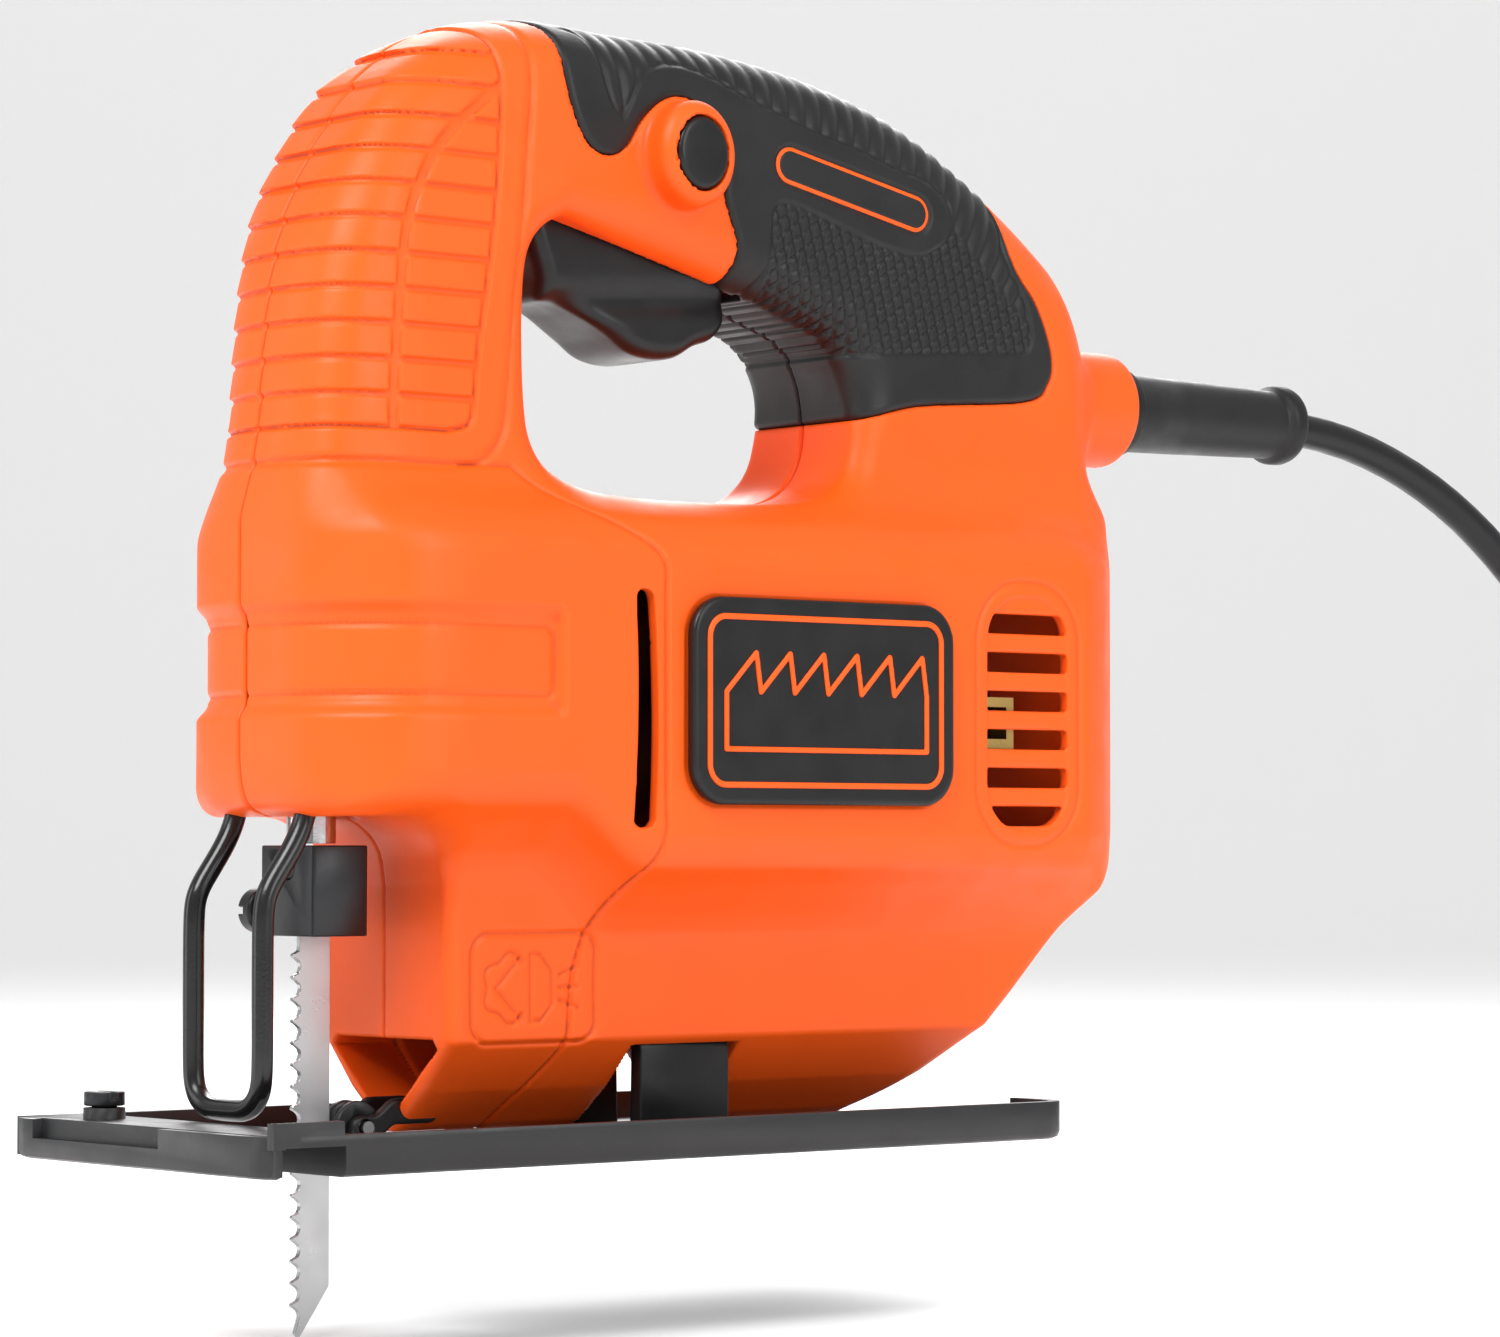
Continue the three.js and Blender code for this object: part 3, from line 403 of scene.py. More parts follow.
RIB_LINE = [(40.5, 188.3), (45, 185.6), (46.6, 181.6), (47.4, 177.5), (48.8, 173.6), (51.1, 171.4),
            (53.2, 173.9), (56.1, 178.6), (60.1, 181.2), (65.3, 182.1), (70.8, 181), (77.4, 178.5),
            (86, 175.6), (94.6, 173), (104, 171), (113, 168.4), (120, 167.0), (124.5, 163.5),
            (124.6, 158.6), (120.5, 155.6), (115.7, 154.7), (107.5, 156.1), (96, 159.4), (87.5, 161.4),
            (84, 159.6), (83.4, 153.6), (82.2, 148.6), (78.6, 143.6)]
RIBS = [*RIB_LINE, (74, 137), *D((78, 133.6)), *D((139.5, 137.8)), (144.2, 138.9), (145.2, 143),
        (143, 150), (139, 158), *D((140, 180)), *D((110, 204)), *D((41, 204))]
rib_table = Table((30, 110), (180, 210), STEP, lambda u, v: polygon_field(outline(RIBS, 4), u, v))
SLOT = (102.5, 164.4, 17.2, 2.6, math.radians(-11.5))


def slot_field(y, z, grow=0.0):
    c, s = math.cos(SLOT[4]), math.sin(SLOT[4])
    u, v = (y - SLOT[0]) * c + (z - SLOT[1]) * s, (z - SLOT[1]) * c - (y - SLOT[0]) * s
    return slab(u, v, 0, 0, SLOT[2] + grow, SLOT[3] + grow, SLOT[3] + grow)


# rounded rectangles on the flank: middle y and z, half width, half height, corner
VENT = (131, 73.6, 9.6, 20.4, 8)
STRIP = (3, 80.1, 24.6, 5.6, 2.2)
ICON_Z = 27.4
ICON_PANEL = (31.6, ICON_Z, 12.6, 8.9, 3.4)


def vent_field(y, z, grow=0.0):
    mid_y, mid_z, half_y, half_z, corner = VENT
    return slab(y, z, mid_y, mid_z, half_y + grow, half_z + grow, corner + grow)


def badge_field(y, z, grow=0.0):
    return slab(y, z, 82.75, 74.5, 29.25 + grow, 17.5 + grow, 7 + grow)


def hump(v, width):
    return np.exp(-((v / width) ** 2))


def indent(x, y, z, side):
    """How deep the shell's outer surface is let in, in mm."""
    band = smoothstep(70.6, 73.4, z) * (1 - smoothstep(86.8, 89.6, z))
    h = 1.8 * band * (1 - smoothstep(27.4, 29.6, y))
    strip = slab(y, z, *STRIP)
    h = h + 0.5 * hump(strip, 0.6)
    h = h + 0.65 * hump(parting_table(y, z), 0.5)
    h = h + 0.5 * hump(x, 0.5) * (z > 56)
    deep, rim = -inner_table(y, z), outer_table(y, z)
    row = (z - ROW_LOW) / ROW_PITCH
    frac = row - np.floor(row)
    pad = smoothstep(0.05, 0.13, frac) * (1 - smoothstep(0.86, 0.97, frac))
    pad = pad * smoothstep(0.5, 1.1, deep) * smoothstep(0.7, 1.2, divider_table(y, z)) * (z > ROW_LOW)
    h = h + 0.85 * smoothstep(-0.3, 0.4, deep) - pad * (0.3 + 0.75 * (1 - frac)) + 0.6 * hump(rim, 0.6)
    flank = x > 24
    vent = vent_field(y, z)
    h = h + flank * (0.5 * hump(vent - 2.6, 0.6) + 0.5 * smoothstep(0.4, -0.4, vent))
    if side > 0:
        panel = slab(y, z, *ICON_PANEL)
        h = h + 0.45 * hump(panel, 0.5) * (x > 8)
        arc = np.hypot(y - 27, z - ICON_Z)
        puff = arc + 0.5 * np.cos(6 * np.arctan2(z - ICON_Z, y - 27))
        h = h + 0.35 * hump(puff - 5.3, 0.4) * (y < 29.6) * (x > 8)
        arrow = np.maximum(abs(abs(z - ICON_Z) - (y - 24)) * 0.7, np.maximum(23.6 - y, y - 29))
        h = h + 0.35 * hump(arrow, 0.45) * (x > 8)
        nozzle = np.maximum(abs(y - 33.2) - 2.2, abs(z - ICON_Z) - 5.4 + 1.1 * np.maximum(y - 33, 0))
        h = h + 0.35 * hump(nozzle, 0.45) * (x > 8)
        for k in (-1, 0, 1):
            ray = np.maximum(abs(z - ICON_Z - k * 2.1 - 0.35 * k * (y - 37)), abs(y - 38.8) - 1.9)
            h = h + 0.35 * hump(ray, 0.4) * (x > 8)
    return h


def lock_ring(y, z, grow=0.0):
    return (np.hypot((y - LOCK[0]) / 7.9, (z - LOCK[1]) / 9.0) - 1) * 8.4 - grow


def shell(x, y, z, side):
    base = base_shape(x, y, z)
    d = base + indent(x, y, z, side)
    d = np.maximum(d, np.minimum(-grip_table(y, z) - 0.1, base + 1.7))
    if side > 0:
        ring = lock_ring(y, z)
        boss = rounded(1.3, ring, x - 23.4 + 0.16 * np.maximum(ring + 5, 0) ** 1.6, 12 - x)
        d = joined(2.2, d, boss)
        d = np.maximum(d, -np.maximum(lock_ring(y, z, -2.35), 14 - x))
    collar = rounded(1.2, np.hypot(x, z - CORD_Z) - 10.6, y - 178.2, 158 - y)
    d = joined(5.0, d, collar)
    d = np.maximum(d, -np.maximum(np.hypot(x, z - CORD_Z) - 7.7, 158 - y))
    cavity = rounded(2.0, base + 3.3, 0 * x + y - 160)
    d = np.maximum(d, -cavity)
    wall = np.minimum(block(x, y, z, (-40, 143.6, 46), (40, 147.4, 102.5)),
                      block(x, y, z, (-40, -14, 121), (40, 12, 126)))
    d = np.minimum(d, np.maximum(wall, base + 1.5))
    slots = np.full_like(z + 0 * y, 9.0)
    for k in range(6):
        slots = np.minimum(slots, abs(z - 55.7 - 6.7 * k) - 1.75)
    cuts = [
        rounded(0.6, vent_field(y, z), slots, 20 - x),
        rounded(1.2, slab(y + 0.002 * (z - 73) ** 2, z, 46.0, 73, 1.9 + 0.012 * (92 - z), 19.5, 1.7), 20 - x),
        np.maximum(badge_field(y, z), 29.6 - x),
        np.maximum(duct_table(x, z), y - 27),
        np.maximum(np.hypot(x, y) - 7.3, np.minimum(abs(z - 57.5) - 7.5, abs(z - 123.5) - 4.5)),
        np.maximum(np.hypot(x, z - 72) - 8.3, abs(y - 145) - 5),
        rounded(1.0, abs(x) - 9.9, abs(y - 60.4) - 21.2, 136 - z, z - 163),
        np.maximum(np.hypot(x, z - 10) - 18.35, abs(y - 64.5) - 11.6),
    ]
    if side < 0:
        for sy, sz in ((15, 166), (20, 134), (27, 27), (110, 26), (159, 98), (140, 151)):
            cuts.append(np.maximum(np.hypot(y - sy, z - sz) - 3.2, 12 - x))
    for c in cuts:
        d = np.maximum(d, -c)
    return rounded(0.35, d, 0.12 - x)


def grip_skin(x, y, z, side):
    base = base_shape(x, y, z)
    area = grip_table(y, z) + 0.15
    ribs = -rib_table(y, z)
    s = spine_table(y, z)
    top = smoothstep(-1.0, 2.0, z - np.where(y < 84, 0, 166.5) + np.maximum(y - 118, 0) * 0.9)
    wave = 0.5 + 0.5 * np.cos(s * 2 * np.pi / 4.1)
    h = 0.7 * smoothstep(-0.2, 0.9, ribs) - smoothstep(0.3, 1.4, ribs) * top * 0.62 * wave**0.5
    u, v = (y * 0.94 - z * 0.34), (y * 0.34 + z * 0.94)
    p, q = (u + 0.7 * v) / 2.7, (u - 0.7 * v) / 2.7
    hatch = np.minimum(abs(p - np.round(p)), abs(q - np.round(q)))
    h = h - smoothstep(0.3, 1.4, ribs) * (1 - top) * 0.55 * smoothstep(0.03, 0.24, hatch)
    slot = slot_field(y, z)
    h = h + (x > 10) * (0.5 * smoothstep(0.4, -0.4, slot - 1.2) - 0.45 * smoothstep(0.3, -0.3, slot))
    d = base - 0.35 + h
    d = rounded(1.4, area, d)
    d = np.maximum(d, -(base + 1.55))
    d = np.maximum(d, -rounded(1.0, abs(x) - 10.3, abs(y - 60.2) - 22.2, 120 - z, z - 163))
    if side > 0:
        d = np.maximum(d, -lock_ring(y, z, 0.8))
    return np.maximum(d, 0.12 - x)


def build(name, field, side, low, high, h, refine=None):
    """Meshes a field on one side of the middle plane and moves each vertex onto it."""
    n = [int((b - a) / h) + 1 for a, b in zip(low, high)]
    ax = [low[i] + h * np.arange(n[i], dtype=np.float32) for i in range(3)]
    band = 3 * h
    values = np.full(n, band, np.float32)
    for k in range(0, n[0], 16):
        values[k : k + 16] = field(ax[0][k : k + 16, None, None], ax[1][None, :, None],
                                   ax[2][None, None, :], side)
    grid = openvdb.FloatGrid(band)
    grid.copyFromArray(np.clip(values, -band, band).astype(np.float32), tolerance=0.0)
    points, quads = grid.convertToQuads(isovalue=0.0)
    points = points.astype(np.float32) * h + np.array(low, np.float32)
    quads = quads.astype(np.int64)
    points = settle(points, field, side, h)
    faces = [quads]
    if refine is not None:
        points, faces = split(points, quads, refine(points))
        points = settle(points, field, side, h / 2)
    sign = 1.0 if side > 0 else -1.0
    flip = side < 0
    verts = np.stack([points[:, 0] * sign, points[:, 1] - PLUNGER_Y, points[:, 2]], 1) * MM
    return to_object(name, verts, faces, flip)


def settle(points, field, side, h):
    e = 0.15
    for _ in range(2):
        x, y, z = points.T
        d = field(x, y, z, side)
        g = np.stack([field(x + e, y, z, side) - d, field(x, y + e, z, side) - d,
                      field(x, y, z + e, side) - d], 1) / e
        move = -d / np.maximum((g * g).sum(1), 0.25)
        points = points + g * np.clip(move, -0.45 * h, 0.45 * h)[:, None]
    return points.astype(np.float32)


def split(points, quads, chosen):
    """Cuts each chosen quad into four; a neighbour takes the new points on its edges."""
    pick = chosen[quads].all(1)
    q = quads[pick]
    edges = np.stack([q, np.roll(q, -1, 1)], 2).reshape(-1, 2)
    keys, inverse = np.unique(np.sort(edges, 1), axis=0, return_inverse=True)
    mids = points[keys].mean(1)
    centres = points[q].mean(1)
    n0, n1 = len(points), len(points) + len(keys)
    m = (n0 + inverse.reshape(-1, 4)).astype(np.int64)
    c = n1 + np.arange(len(q))
    new = np.concatenate([np.stack([q[:, i], m[:, i], c, m[:, i - 1]], 1) for i in range(4)])
    middle = {(int(a), int(b)): n0 + i for i, (a, b) in enumerate(keys)}
    touched = np.zeros(n0, bool)
    touched[keys.ravel()] = True
    rest = quads[~pick]
    near = touched[rest].sum(1) >= 2
    loops = []
    for f in rest[near].tolist():
        loop = []
        for a, b in zip(f, f[1:] + f[:1]):
            loop.append(a)
            k = middle.get((min(a, b), max(a, b)))
            if k is not None:
                loop.append(k)
        loops.append(loop)
    return np.concatenate([points, mids, centres]), [rest[~near], new, loops]


def to_object(name, verts, faces, flip):
    arrays = [f for f in faces if isinstance(f, np.ndarray) and len(f)]
    loops = [g for f in faces if isinstance(f, list) for g in f]
    index = np.concatenate([a.ravel() for a in arrays] + [np.array(g) for g in loops])
    loop_sizes = [np.array([len(g) for g in loops])] if loops else []
    sizes = np.concatenate([np.full(len(a), 4) for a in arrays] + loop_sizes)
    starts = np.concatenate([[0], np.cumsum(sizes)[:-1]])
    mesh = bpy.data.meshes.new(name)
    mesh.vertices.add(len(verts))
    mesh.vertices.foreach_set("co", verts.astype(np.float32).ravel())
    mesh.loops.add(len(index))
    mesh.loops.foreach_set("vertex_index", index.astype(np.int32))
    mesh.polygons.add(len(sizes))
    mesh.polygons.foreach_set("loop_start", starts.astype(np.int32))
    mesh.update(calc_edges=True)
    mesh.validate()
    if flip:
        mesh.flip_normals()
    mesh.polygons.foreach_set("use_smooth", [True] * len(mesh.polygons))
    return link(bpy.data.objects.new(name, mesh))


# ---------- materials ----------
def surface(name, color, rough, metal=0.0, grain=1800.0, depth=0.00002, tint=0.06, vary=0.08,
            brushed=None, coat=0.0, specular=0.5, wear=0.0, painted_crease_shade=0.0):
    """A procedural finish: fine grain in relief, slow changes of tone and gloss, brush lines on metal, and
    painted shade darkening the creases.
    """
    m = new_material(name, color, rough, metal)
    nodes, links = m.node_tree.nodes, m.node_tree.links
    b = nodes["Principled BSDF"]
    b.inputs["Specular IOR Level"].default_value = specular
    b.inputs["Coat Weight"].default_value = coat
    b.inputs["Coat Roughness"].default_value = 0.25
    place = nodes.new("ShaderNodeTexCoord")

    def noise(scale, detail, stretch=None):
        n = nodes.new("ShaderNodeTexNoise")
        n.inputs["Scale"].default_value = scale
        n.inputs["Detail"].default_value = detail
        if stretch:
            s = nodes.new("ShaderNodeMapping")
            s.inputs["Scale"].default_value = stretch
            links.new(place.outputs["Object"], s.inputs["Vector"])
            links.new(s.outputs["Vector"], n.inputs["Vector"])
        else:
            links.new(place.outputs["Object"], n.inputs["Vector"])
        return n.outputs["Fac"]

    def spread(fac, low, high):
        r = nodes.new("ShaderNodeMapRange")
        r.inputs["From Min"].default_value, r.inputs["From Max"].default_value = 0.3, 0.7
        r.inputs["To Min"].default_value, r.inputs["To Max"].default_value = low, high
        links.new(fac, r.inputs["Value"])
        return r.outputs["Result"]

    slow = noise(45.0, 4.0)
    mix = nodes.new("ShaderNodeMix")
    mix.data_type = "RGBA"
    mix.inputs["A"].default_value = (*[c * (1 - tint) for c in color], 1)
    mix.inputs["B"].default_value = (*[min(1.0, c * (1 + tint)) for c in color], 1)
    links.new(spread(slow, 0, 1), mix.inputs["Factor"])
    out = mix.outputs["Result"]
    if wear:
        rub = nodes.new("ShaderNodeMix")
        rub.data_type = "RGBA"
        rub.inputs["B"].default_value = (*[min(1.0, c * 1.5 + 0.02) for c in color], 1)
        geo = nodes.new("ShaderNodeNewGeometry")
        edge = nodes.new("ShaderNodeMapRange")
        edge.inputs["From Min"].default_value, edge.inputs["From Max"].default_value = 0.54, 0.66
        edge.inputs["To Max"].default_value = wear
        links.new(geo.outputs["Pointiness"], edge.inputs["Value"])
        links.new(edge.outputs["Result"], rub.inputs["Factor"])
        links.new(out, rub.inputs["A"])
        out = rub.outputs["Result"]
    # painted shade: the colour is darkened where the surface folds inward, standing in for shade in creases
    # and grooves
    if painted_crease_shade:
        crease_shade_mix = nodes.new("ShaderNodeMix")
        crease_shade_mix.data_type = "RGBA"
        crease_shade_mix.inputs["B"].default_value = (*[c * (1 - painted_crease_shade) for c in color], 1)
        geo = nodes.new("ShaderNodeNewGeometry")
        crease_shade_ramp = nodes.new("ShaderNodeMapRange")
        crease_shade_ramp.inputs["From Min"].default_value, crease_shade_ramp.inputs["From Max"].default_value = 0.488, 0.43
        links.new(geo.outputs["Pointiness"], crease_shade_ramp.inputs["Value"])
        links.new(crease_shade_ramp.outputs["Result"], crease_shade_mix.inputs["Factor"])
        links.new(out, crease_shade_mix.inputs["A"])
        out = crease_shade_mix.outputs["Result"]
    links.new(out, b.inputs["Base Color"])
    links.new(spread(noise(130.0, 5.0), rough - vary, rough + vary), b.inputs["Roughness"])
    height = noise(grain, 3.0)
    if brushed:
        lines = noise(900.0, 2.0, brushed)
        add = nodes.new("ShaderNodeMath")
        add.operation = "ADD"
        links.new(height, add.inputs[0])
        links.new(lines, add.inputs[1])
        height = add.outputs["Value"]
    bump = nodes.new("ShaderNodeBump")
    bump.inputs["Distance"].default_value = depth
    bump.inputs["Strength"].default_value = 1.0
    links.new(height, bump.inputs["Height"])
    links.new(bump.outputs["Normal"], b.inputs["Normal"])
    return m


# the shell and the grip get painted shade darkened into their creases
ORANGE = surface("shell_orange", (0.96, 0.106, 0.006), 0.44, grain=2600, depth=0.000012, tint=0.02,
                 specular=0.3, painted_crease_shade=0.6)
RUBBER = surface("grip_rubber", (0.0105, 0.0105, 0.011), 0.45, grain=3200, depth=0.00003, tint=0.15,
                 specular=0.35, painted_crease_shade=0.75)
BLACK = surface("black_plastic", (0.008, 0.008, 0.0085), 0.36, grain=2400, depth=0.000015, tint=0.12,
                specular=0.35)
SHOE = surface("shoe_steel", (0.019, 0.0195, 0.021), 0.40, 0.2, grain=1500, depth=0.00002, tint=0.08,
               wear=0.35)
WIRE = surface("dark_wire", (0.006, 0.006, 0.0065), 0.22, 0.0, grain=2000, depth=0.00001, tint=0.1)
DARK = surface("dark_steel", (0.035, 0.036, 0.038), 0.36, 0.8, grain=1500, depth=0.00002, tint=0.1, wear=0.3)
STEEL = surface("steel", (0.62, 0.63, 0.65), 0.26, 1.0, grain=1500, depth=0.000012, tint=0.05,
                brushed=(1, 1, 12))
BLADE = surface("blade_steel", (0.55, 0.56, 0.57), 0.34, 1.0, grain=1500, depth=0.000012, tint=0.04,
                brushed=(1, 12, 1))
COPPER = surface("copper", (0.55, 0.2, 0.08), 0.35, 1.0, grain=900, depth=0.00004, tint=0.15,
                 brushed=(1, 14, 1))
BRASS = surface("brass", (0.62, 0.42, 0.14), 0.32, 1.0, depth=0.00002, tint=0.08)
CARBON = surface("carbon", (0.02, 0.02, 0.02), 0.6, tint=0.1)
CORD = surface("cord_black", (0.008, 0.008, 0.009), 0.38, grain=1400, depth=0.00002, tint=0.12, specular=0.35)
FINISH = {
    "shell_orange": ORANGE, "grip_rubber": RUBBER, "black_plastic": BLACK, "shoe_steel": SHOE, "steel": STEEL,
    "dark_steel": DARK, "copper": COPPER, "brass": BRASS, "carbon": CARBON, "cord_black": CORD,
}
for part in frame["record"]["subparts"]:
    data = NODES[part["node"]].data
    data.materials.clear()
    data.materials.append(FINISH[part["material_slot"]])


def show(o, body, slot, finish, *nodes):
    """Puts a piece on a body in place of the CAD nodes it stands for."""
    if finish is not None:
        o.data.materials.clear()
        o.data.materials.append(finish)
    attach(o, body)
    if nodes:
        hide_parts(*nodes)
    return o


# ---------- cord surface ----------
def make_cord():
    points = cord_points()
    curve = bpy.data.curves.new("cord", "CURVE")
    curve.dimensions = "3D"
    spline = curve.splines.new("NURBS")
    spline.points.add(len(points) - 1)
    for q, p in zip(spline.points, points):
        q.co = (*row(p), 1)
    spline.order_u = 4
    spline.use_endpoint_u = True
    spline.resolution_u = 5
    curve.bevel_depth = CORD_RADIUS * MM
    curve.bevel_resolution = 5
    curve.use_fill_caps = True
    return link(bpy.data.objects.new("cord", curve))


cord = show(make_cord(), "housing", "cord_black", CORD, "cord_lead", "cord_coil", "cord_tail")


# ---------- shell and grip ----------
FINE = 0.62


def shell_detail(p):
    x, y, z = p.T
    near = (inner_table(y, z) < 3) & (z > 112) | (abs(parting_table(y, z)) < 1.6)
    near |= abs(vent_field(y, z)) < 4
    near |= (abs(slab(y, z, *STRIP)) < 1.5) | (x < 1.5)
    near |= (abs(y - 32) < 14) & (abs(z - ICON_Z) < 11)
    near |= abs(slab(y, z, 45.4, 73, 1.9, 19.5, 1.6)) < 1.8
    return near & (base_shape(x, y, z) > -2.2)


def slot_line_field(x, y, z, s):
    surface_depth = base_shape(x, y, z)
    band = rounded(0.25, abs(slot_field(y, z)) - 0.62, surface_depth - 0.15, -surface_depth - 1.2)
    return np.maximum(band, 10 - x)


for word, side in (("left", 1), ("right", -1)):
    half = build("shell_" + word, shell, side, (-1.2, -18, 1), (33, 181, 196), FINE,
                 shell_detail)
    show(half, "housing", "shell_orange", ORANGE, "housing_" + word)
    skin = build("skin_" + word, grip_skin, side, (-1.2, 34, 120), (24, 154, 197), FINE,
                 lambda p: base_shape(*p.T) > -1.0)
    show(skin, "housing", "grip_rubber", RUBBER, "grip_" + word)
    line = build("slot_line_" + word, slot_line_field, side, (14, 80, 155), (24, 125, 175), 0.3)
    show(line, "housing", "shell_orange", ORANGE)

# ---------- badge: plate, raised border and a saw-tooth mark ----------
teeth = [(60.5, 66.5), (105, 66.5), (105, 76.0)]
for k in range(6):
    teeth += [(105 - 7.4 * k - 1.0, 82.5), (105 - 7.4 * (k + 1), 76.0)]
teeth += [(60.5, 76.0)]


def teeth_field(u, v):
    return polygon_field([(max(60.6, a), b) for a, b in teeth], u, v)


def plate_face(x, y, z, s):
    return rounded(0.7, badge_field(y, z, -0.3), x - 32.0, 29.9 - x)


def mark_face(x, y, z, s):
    lines = np.minimum(abs(badge_field(y, z, -3.6)) - 0.5, abs(teeth_table(y, z)) - 0.45)
    return rounded(0.2, lines, x - 32.35, 31.5 - x)


teeth_table = Table((54, 56), (112, 93), 0.25, teeth_field)
for word, side in (("left", 1), ("right", -1)):
    plate = build("badge_plate_" + word, plate_face, side, (29, 52, 55), (33.5, 114, 94), 0.5)
    show(plate, "housing", "black_plastic", BLACK, "badge_" + word)
    mark = build("badge_mark_" + word, mark_face, side, (30.8, 52, 55), (33.2, 114, 94), 0.3)
    show(mark, "housing", "shell_orange", ORANGE)

# ---------- trigger and lock button ----------
TRIGGER = [(40.2, 158), *D((40.2, 145)), (40.9, 141.6), (45, 141.2), (50, 139.2), (55, 136.6),
           (59.5, 133.9), (64.5, 133), (69.5, 133.6), (73.6, 135.8), (77.6, 137.3), (80.3, 140.4),
           (81.0, 145), *D((81, 152.4))]
trigger_table = Table((36, 128), (86, 164), 0.25, lambda u, v: polygon_field(outline(TRIGGER), u, v))


def trigger_field(x, y, z, s):
    waist = 1.4 * hump(z - 142.5 - 0.08 * (y - 60), 3.0)
    d = rounded(3.0, trigger_table(y, z), x - 9.4 + waist)
    d = rounded(0.8, d, z - 158 + 0.137 * (y - 40))
    return np.maximum(d, -np.maximum(np.hypot(x, y - 60) - 4.5, 151.6 - z))


def both_sides(name, field, low, high, h):
    return build(name, lambda x, y, z, s: field(abs(x), y, z, s), 1, (-high[0], *low[1:]), high, h)


show(both_sides("trigger_lever", trigger_field, (0, 38, 130), (11, 83, 160), 0.45), "trigger",
     "black_plastic", BLACK, "trigger")


def cap_field(x, y, z, s):
    crown = x - 22.9 + 0.012 * ((y - 63.8) ** 2 + (z - 166.6) ** 2)
    return rounded(0.9, lock_ring(y, z, -2.6), crown, 12.5 - x)


button = build("lock_cap", cap_field, 1, (11.5, 55, 157), (24.5, 72, 177), 0.35)
show(button, "lock_button", "black_plastic", BLACK, "lock_button")


# ---------- hard parts: the CAD solids with softened edges ----------
def softened(node, width, finish, slot, segments=2, angle=30):
    o = link(bpy.data.objects.new(node + "_fine", NODES[node].data.copy()))
    bm = bmesh.new()
    bm.from_mesh(o.data)
    bmesh.ops.remove_doubles(bm, verts=bm.verts, dist=1e-6)
    bmesh.ops.dissolve_limit(bm, angle_limit=0.02, verts=bm.verts, edges=bm.edges)
    bm.to_mesh(o.data)
    bm.free()
    for p in o.data.polygons:
        p.use_smooth = True
    if width:
        b = o.modifiers.new("edges", "BEVEL")
        b.width, b.segments, b.limit_method, b.angle_limit = width * MM, segments, "ANGLE", math.radians(angle)
        b.harden_normals = True
    return show(o, NODES[node]["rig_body"], slot, finish, node)


for node in ("shoe", "bevel_bracket"):
    softened(node, 0.35, SHOE if node == "shoe" else BLACK,
             "shoe_steel" if node == "shoe" else "black_plastic")
softened("blade_clamp", 0.35, DARK, "black_plastic")
for node in ("fence_screw", "guide_roller", "bevel_screw"):
    softened(node, 0.25, DARK, "dark_steel")
for i in range(1, 7):
    softened("housing_screw_%d" % i, 0.15, DARK, "dark_steel", 1)


def plate_field(x, y, z, s):
    d = np.maximum(rounded(0.4, block(x, y, z, (-40, 22, 52), (40, 26, 107.5))), base_shape(x, y, z) + 3.7)
    return np.maximum(d, -np.minimum(np.hypot(x, z - 72) - 8.3, np.hypot(x, z - 96.5) - 3.3))


def carrier_field(x, y, z, s):
    z = z - 2.6 * smoothstep(9.5, 14.2, y)
    arms = rounded(0.5, abs(x - 3.5) - 0.9, slab(y, z, 14, 4.8, 8.6, 2.1, 2.0))
    bridge = rounded(0.5, x - 4.4, abs(y - 20.4) - 1.6, abs(z - 5.2) - 1.4)
    return np.maximum(np.minimum(arms, bridge), 1.35 - np.hypot(y - 8, z - 5))


def screw_field(x, y, z, s):
    r = np.hypot(y + 1.5, z - 40)
    head = rounded(0.7, r - 3.7, x + 10.2, -13.4 - x - 0.03 * r * r)
    head = np.maximum(head, -np.maximum(abs(z - 40) - 0.55, x + 12.0))
    return np.minimum(head, np.maximum(r - 2.0, np.maximum(x + 1.2, -12 - x)))


screw = build("clamp_screw_fine", screw_field, 1, (-15, -6.5, 34.5), (0, 3.5, 45.5), 0.3)
show(screw, "plunger", "dark_steel", DARK, "clamp_screw_side")
show(both_sides("gear_plate_fine", plate_field, (0, 20, 50), (30, 28, 109), 0.7), "housing", "steel",
     STEEL, "gear_plate")
show(both_sides("carrier_fine", carrier_field, (0, 4, 1), (5.5, 24, 11.5), 0.35), "housing",
     "black_plastic", BLACK, "roller_carrier")


# ---------- finger guard ----------
def tube(name, points, radius, order=4):
    curve = bpy.data.curves.new(name, "CURVE")
    curve.dimensions = "3D"
    spline = curve.splines.new("NURBS")
    spline.points.add(len(points) - 1)
    for q, p in zip(spline.points, points):
        q.co = (*row(p), 1)
    spline.order_u, spline.use_endpoint_u, spline.resolution_u = order, True, 8
    curve.bevel_depth, curve.bevel_resolution, curve.use_fill_caps = radius * MM, 6, True
    return link(bpy.data.objects.new(name, curve))


half_wire = [(9.84, -7.6, 57), (9.84, -8.2, 54.6), (9.84, -9.4, 51.6), (9.84, -12.6, 47),
             (9.84, -15.6, 43), (9.84, -16, 39), (9.84, -16, 32), (9.84, -16, 20), (9.84, -16, 15.5),
             (9.5, -16, 11.2), (6.2, -16, 8.7), (3, -16, 8.5), (0, -16, 8.5)]
wire = tube("guard_wire", half_wire + [(-x, y, z) for x, y, z in half_wire[-2::-1]], 1.75)
show(wire, "housing", "black_plastic", WIRE, "finger_guard")

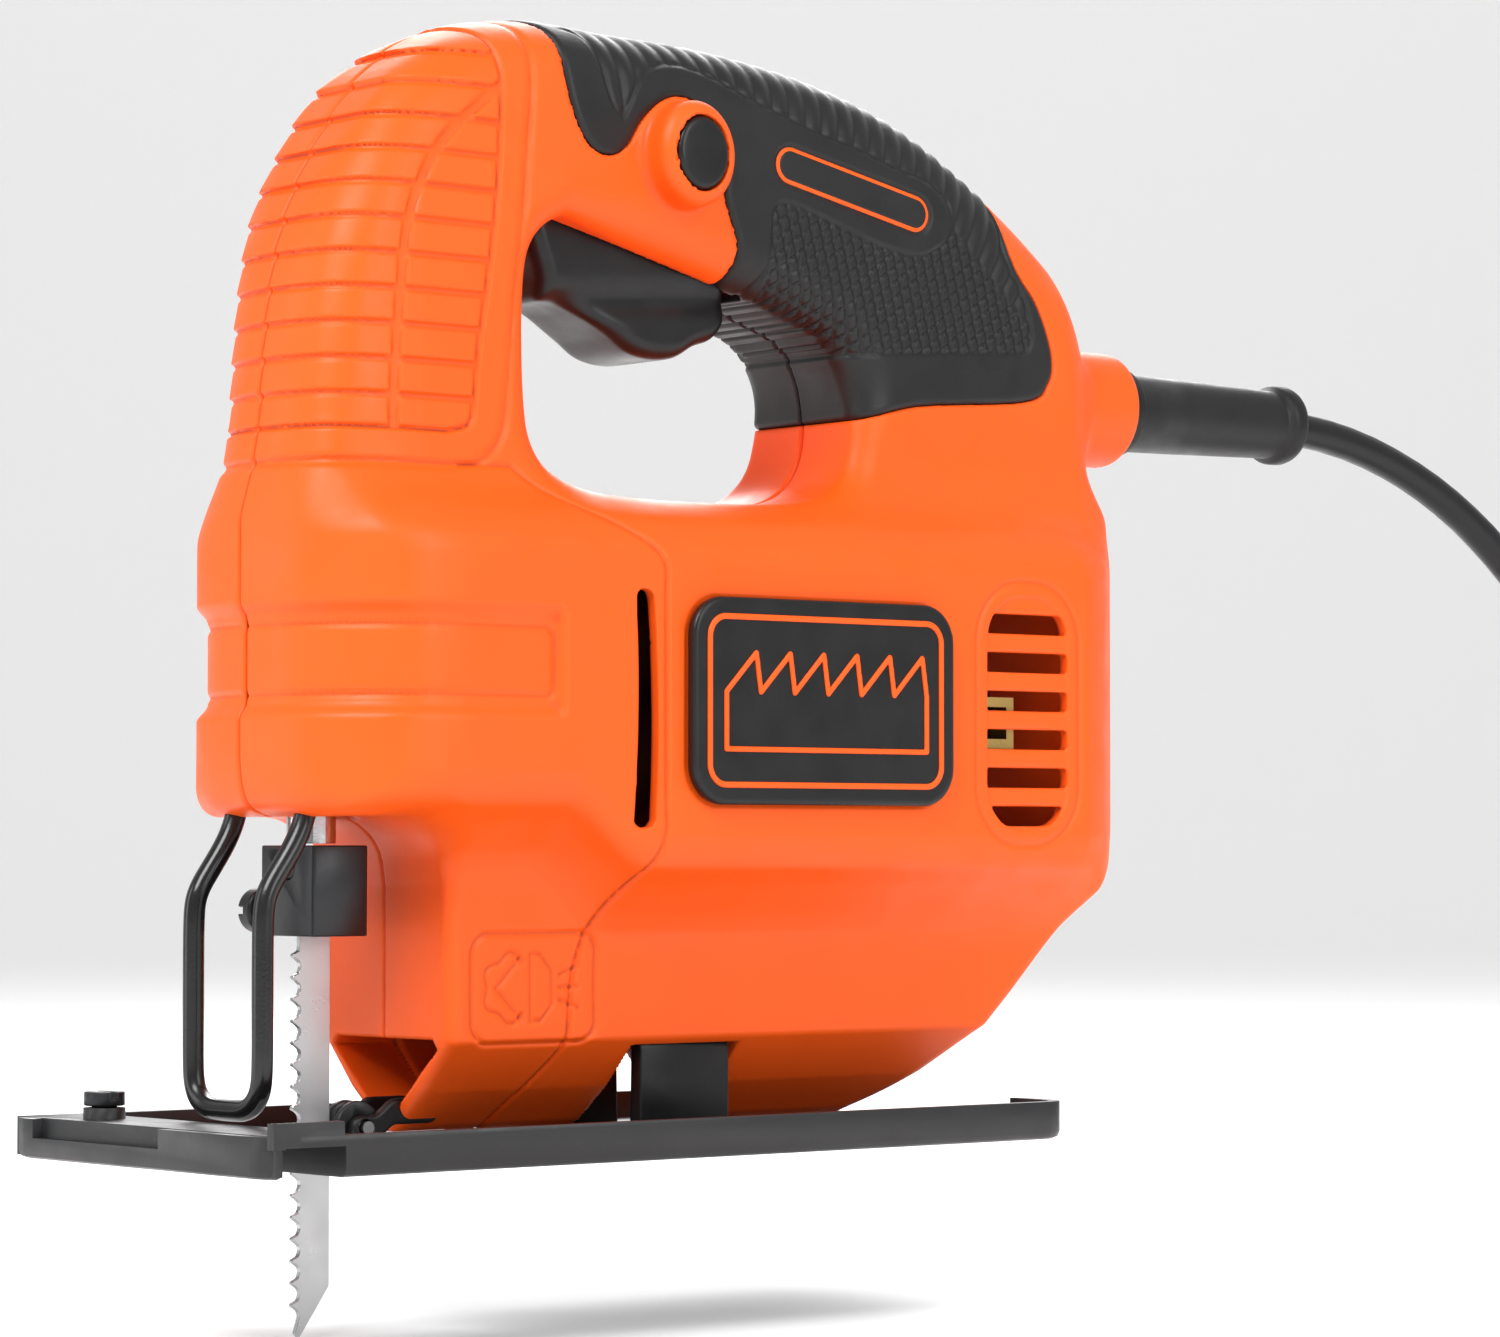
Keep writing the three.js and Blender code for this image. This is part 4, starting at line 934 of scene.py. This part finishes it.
# ---------- blade: scalloped teeth, straight back, slanted tip ----------
tip = -3.8
edge = [(tip + 1.3, 46), (tip + 1.3, 34.4)]
for k in range(17):
    z = 33.6 - 3.5 * k
    edge += [(tip + 1.2, z), (tip + 0.1, z - 0.5), (tip, z - 0.9), (tip + 0.75, z - 1.3),
             (tip + 1.35, z - 1.8), (tip + 1.55, z - 2.5), (tip + 1.4, z - 3.1)]
edge = [(y, z) for y, z in edge if z > FLOOR_Z + 1.8]
edge += [(tip + 0.7, FLOOR_Z + 0.9), (tip + 1.5, FLOOR_Z + 0.15), (3.5, FLOOR_Z + 8.2), (3.5, 46)]
bm = bmesh.new()
ring = [bm.verts.new(row((0.5, y, z))) for y, z in edge]
face = bm.faces.new(ring)
made = bmesh.ops.extrude_face_region(bm, geom=[face])
far_side = [v for v in made["geom"] if isinstance(v, bmesh.types.BMVert)]
bmesh.ops.translate(bm, vec=(-0.001, 0, 0), verts=far_side)
bmesh.ops.recalc_face_normals(bm, faces=bm.faces)
mesh = bpy.data.meshes.new("blade_fine")
bm.to_mesh(mesh)
bm.free()
blade = link(bpy.data.objects.new("blade_fine", mesh))
bevel = blade.modifiers.new("edges", "BEVEL")
bevel.width, bevel.segments, bevel.limit_method = 0.12 * MM, 1, "ANGLE"
show(blade, "plunger", "steel", BLADE, "blade")

# ---------- strain relief: tapered sleeve with a collar at each end ----------
def turned_y(name, profile, x, z, sides=64):
    verts, faces = [], []
    for r, y in profile:
        for i in range(sides):
            t = 2 * math.pi * i / sides
            verts.append(row((x + r * math.cos(t), y, z + r * math.sin(t))))
    n = len(profile)
    for k in range(n - 1):
        for i in range(sides):
            j = (i + 1) % sides
            faces.append((k * sides + i, k * sides + j, (k + 1) * sides + j, (k + 1) * sides + i))
    faces.append(tuple(range(sides - 1, -1, -1)))
    faces.append(tuple((n - 1) * sides + i for i in range(sides)))
    return mesh_object(name, verts, faces)


relief = [(0.5, 160.4), (9.2, 160.4), (9.2, 163), (7.2, 163.2), (7.2, 178.2), (8.2, 178.4), (8.4, 178.9),
          (8.4, 181.4), (8.0, 182), (7.3, 182.2), (7.1, 195), (6.5, 221.4), (6.6, 222.2), (7.3, 222.7),
          (7.6, 223.4), (7.6, 225.4), (7.3, 226.3), (6.6, 226.9), (3.4, 227.0)]
show(turned_y("relief_fine", relief, 0, CORD_Z), "housing", "black_plastic", RUBBER, "strain_relief")

# ---------- plug ----------
PLUG_X, PLUG_Z, PLUG_BACK = 42.5, FLOOR_Z + 13.0, COIL_Y + 62


def plug_field(x, y, z, s):
    body = rounded(2.2, slab(x, z, PLUG_X, PLUG_Z, 17.4, 12.9, 10.5),
                   y - PLUG_BACK - 50, PLUG_BACK + 14 - y)
    for along in (30, 35, 25):
        body = body + 0.6 * hump(y - PLUG_BACK - along, 1.0)
    r = np.hypot(x - PLUG_X, z - PLUG_Z)
    neck = rounded(0.6, r - 4.6 - 0.06 * (y - PLUG_BACK), PLUG_BACK - y, y - PLUG_BACK - 20)
    for along in (4, 7.5, 11):
        neck = neck + 0.5 * hump(y - PLUG_BACK - along, 0.6)
    d = joined(3.0, body, neck)
    hole = np.hypot(abs(x - PLUG_X) - 9.5, z - PLUG_Z) - 2.75
    return np.maximum(d, -np.maximum(hole, PLUG_BACK + 44.2 - y))


plug = build("plug_shell", plug_field, 1, (23.5, PLUG_BACK - 1.5, FLOOR_Z - 1), (61.5, PLUG_BACK + 52, -1),
             0.6)
show(plug, "housing", "cord_black", CORD, "plug_body")
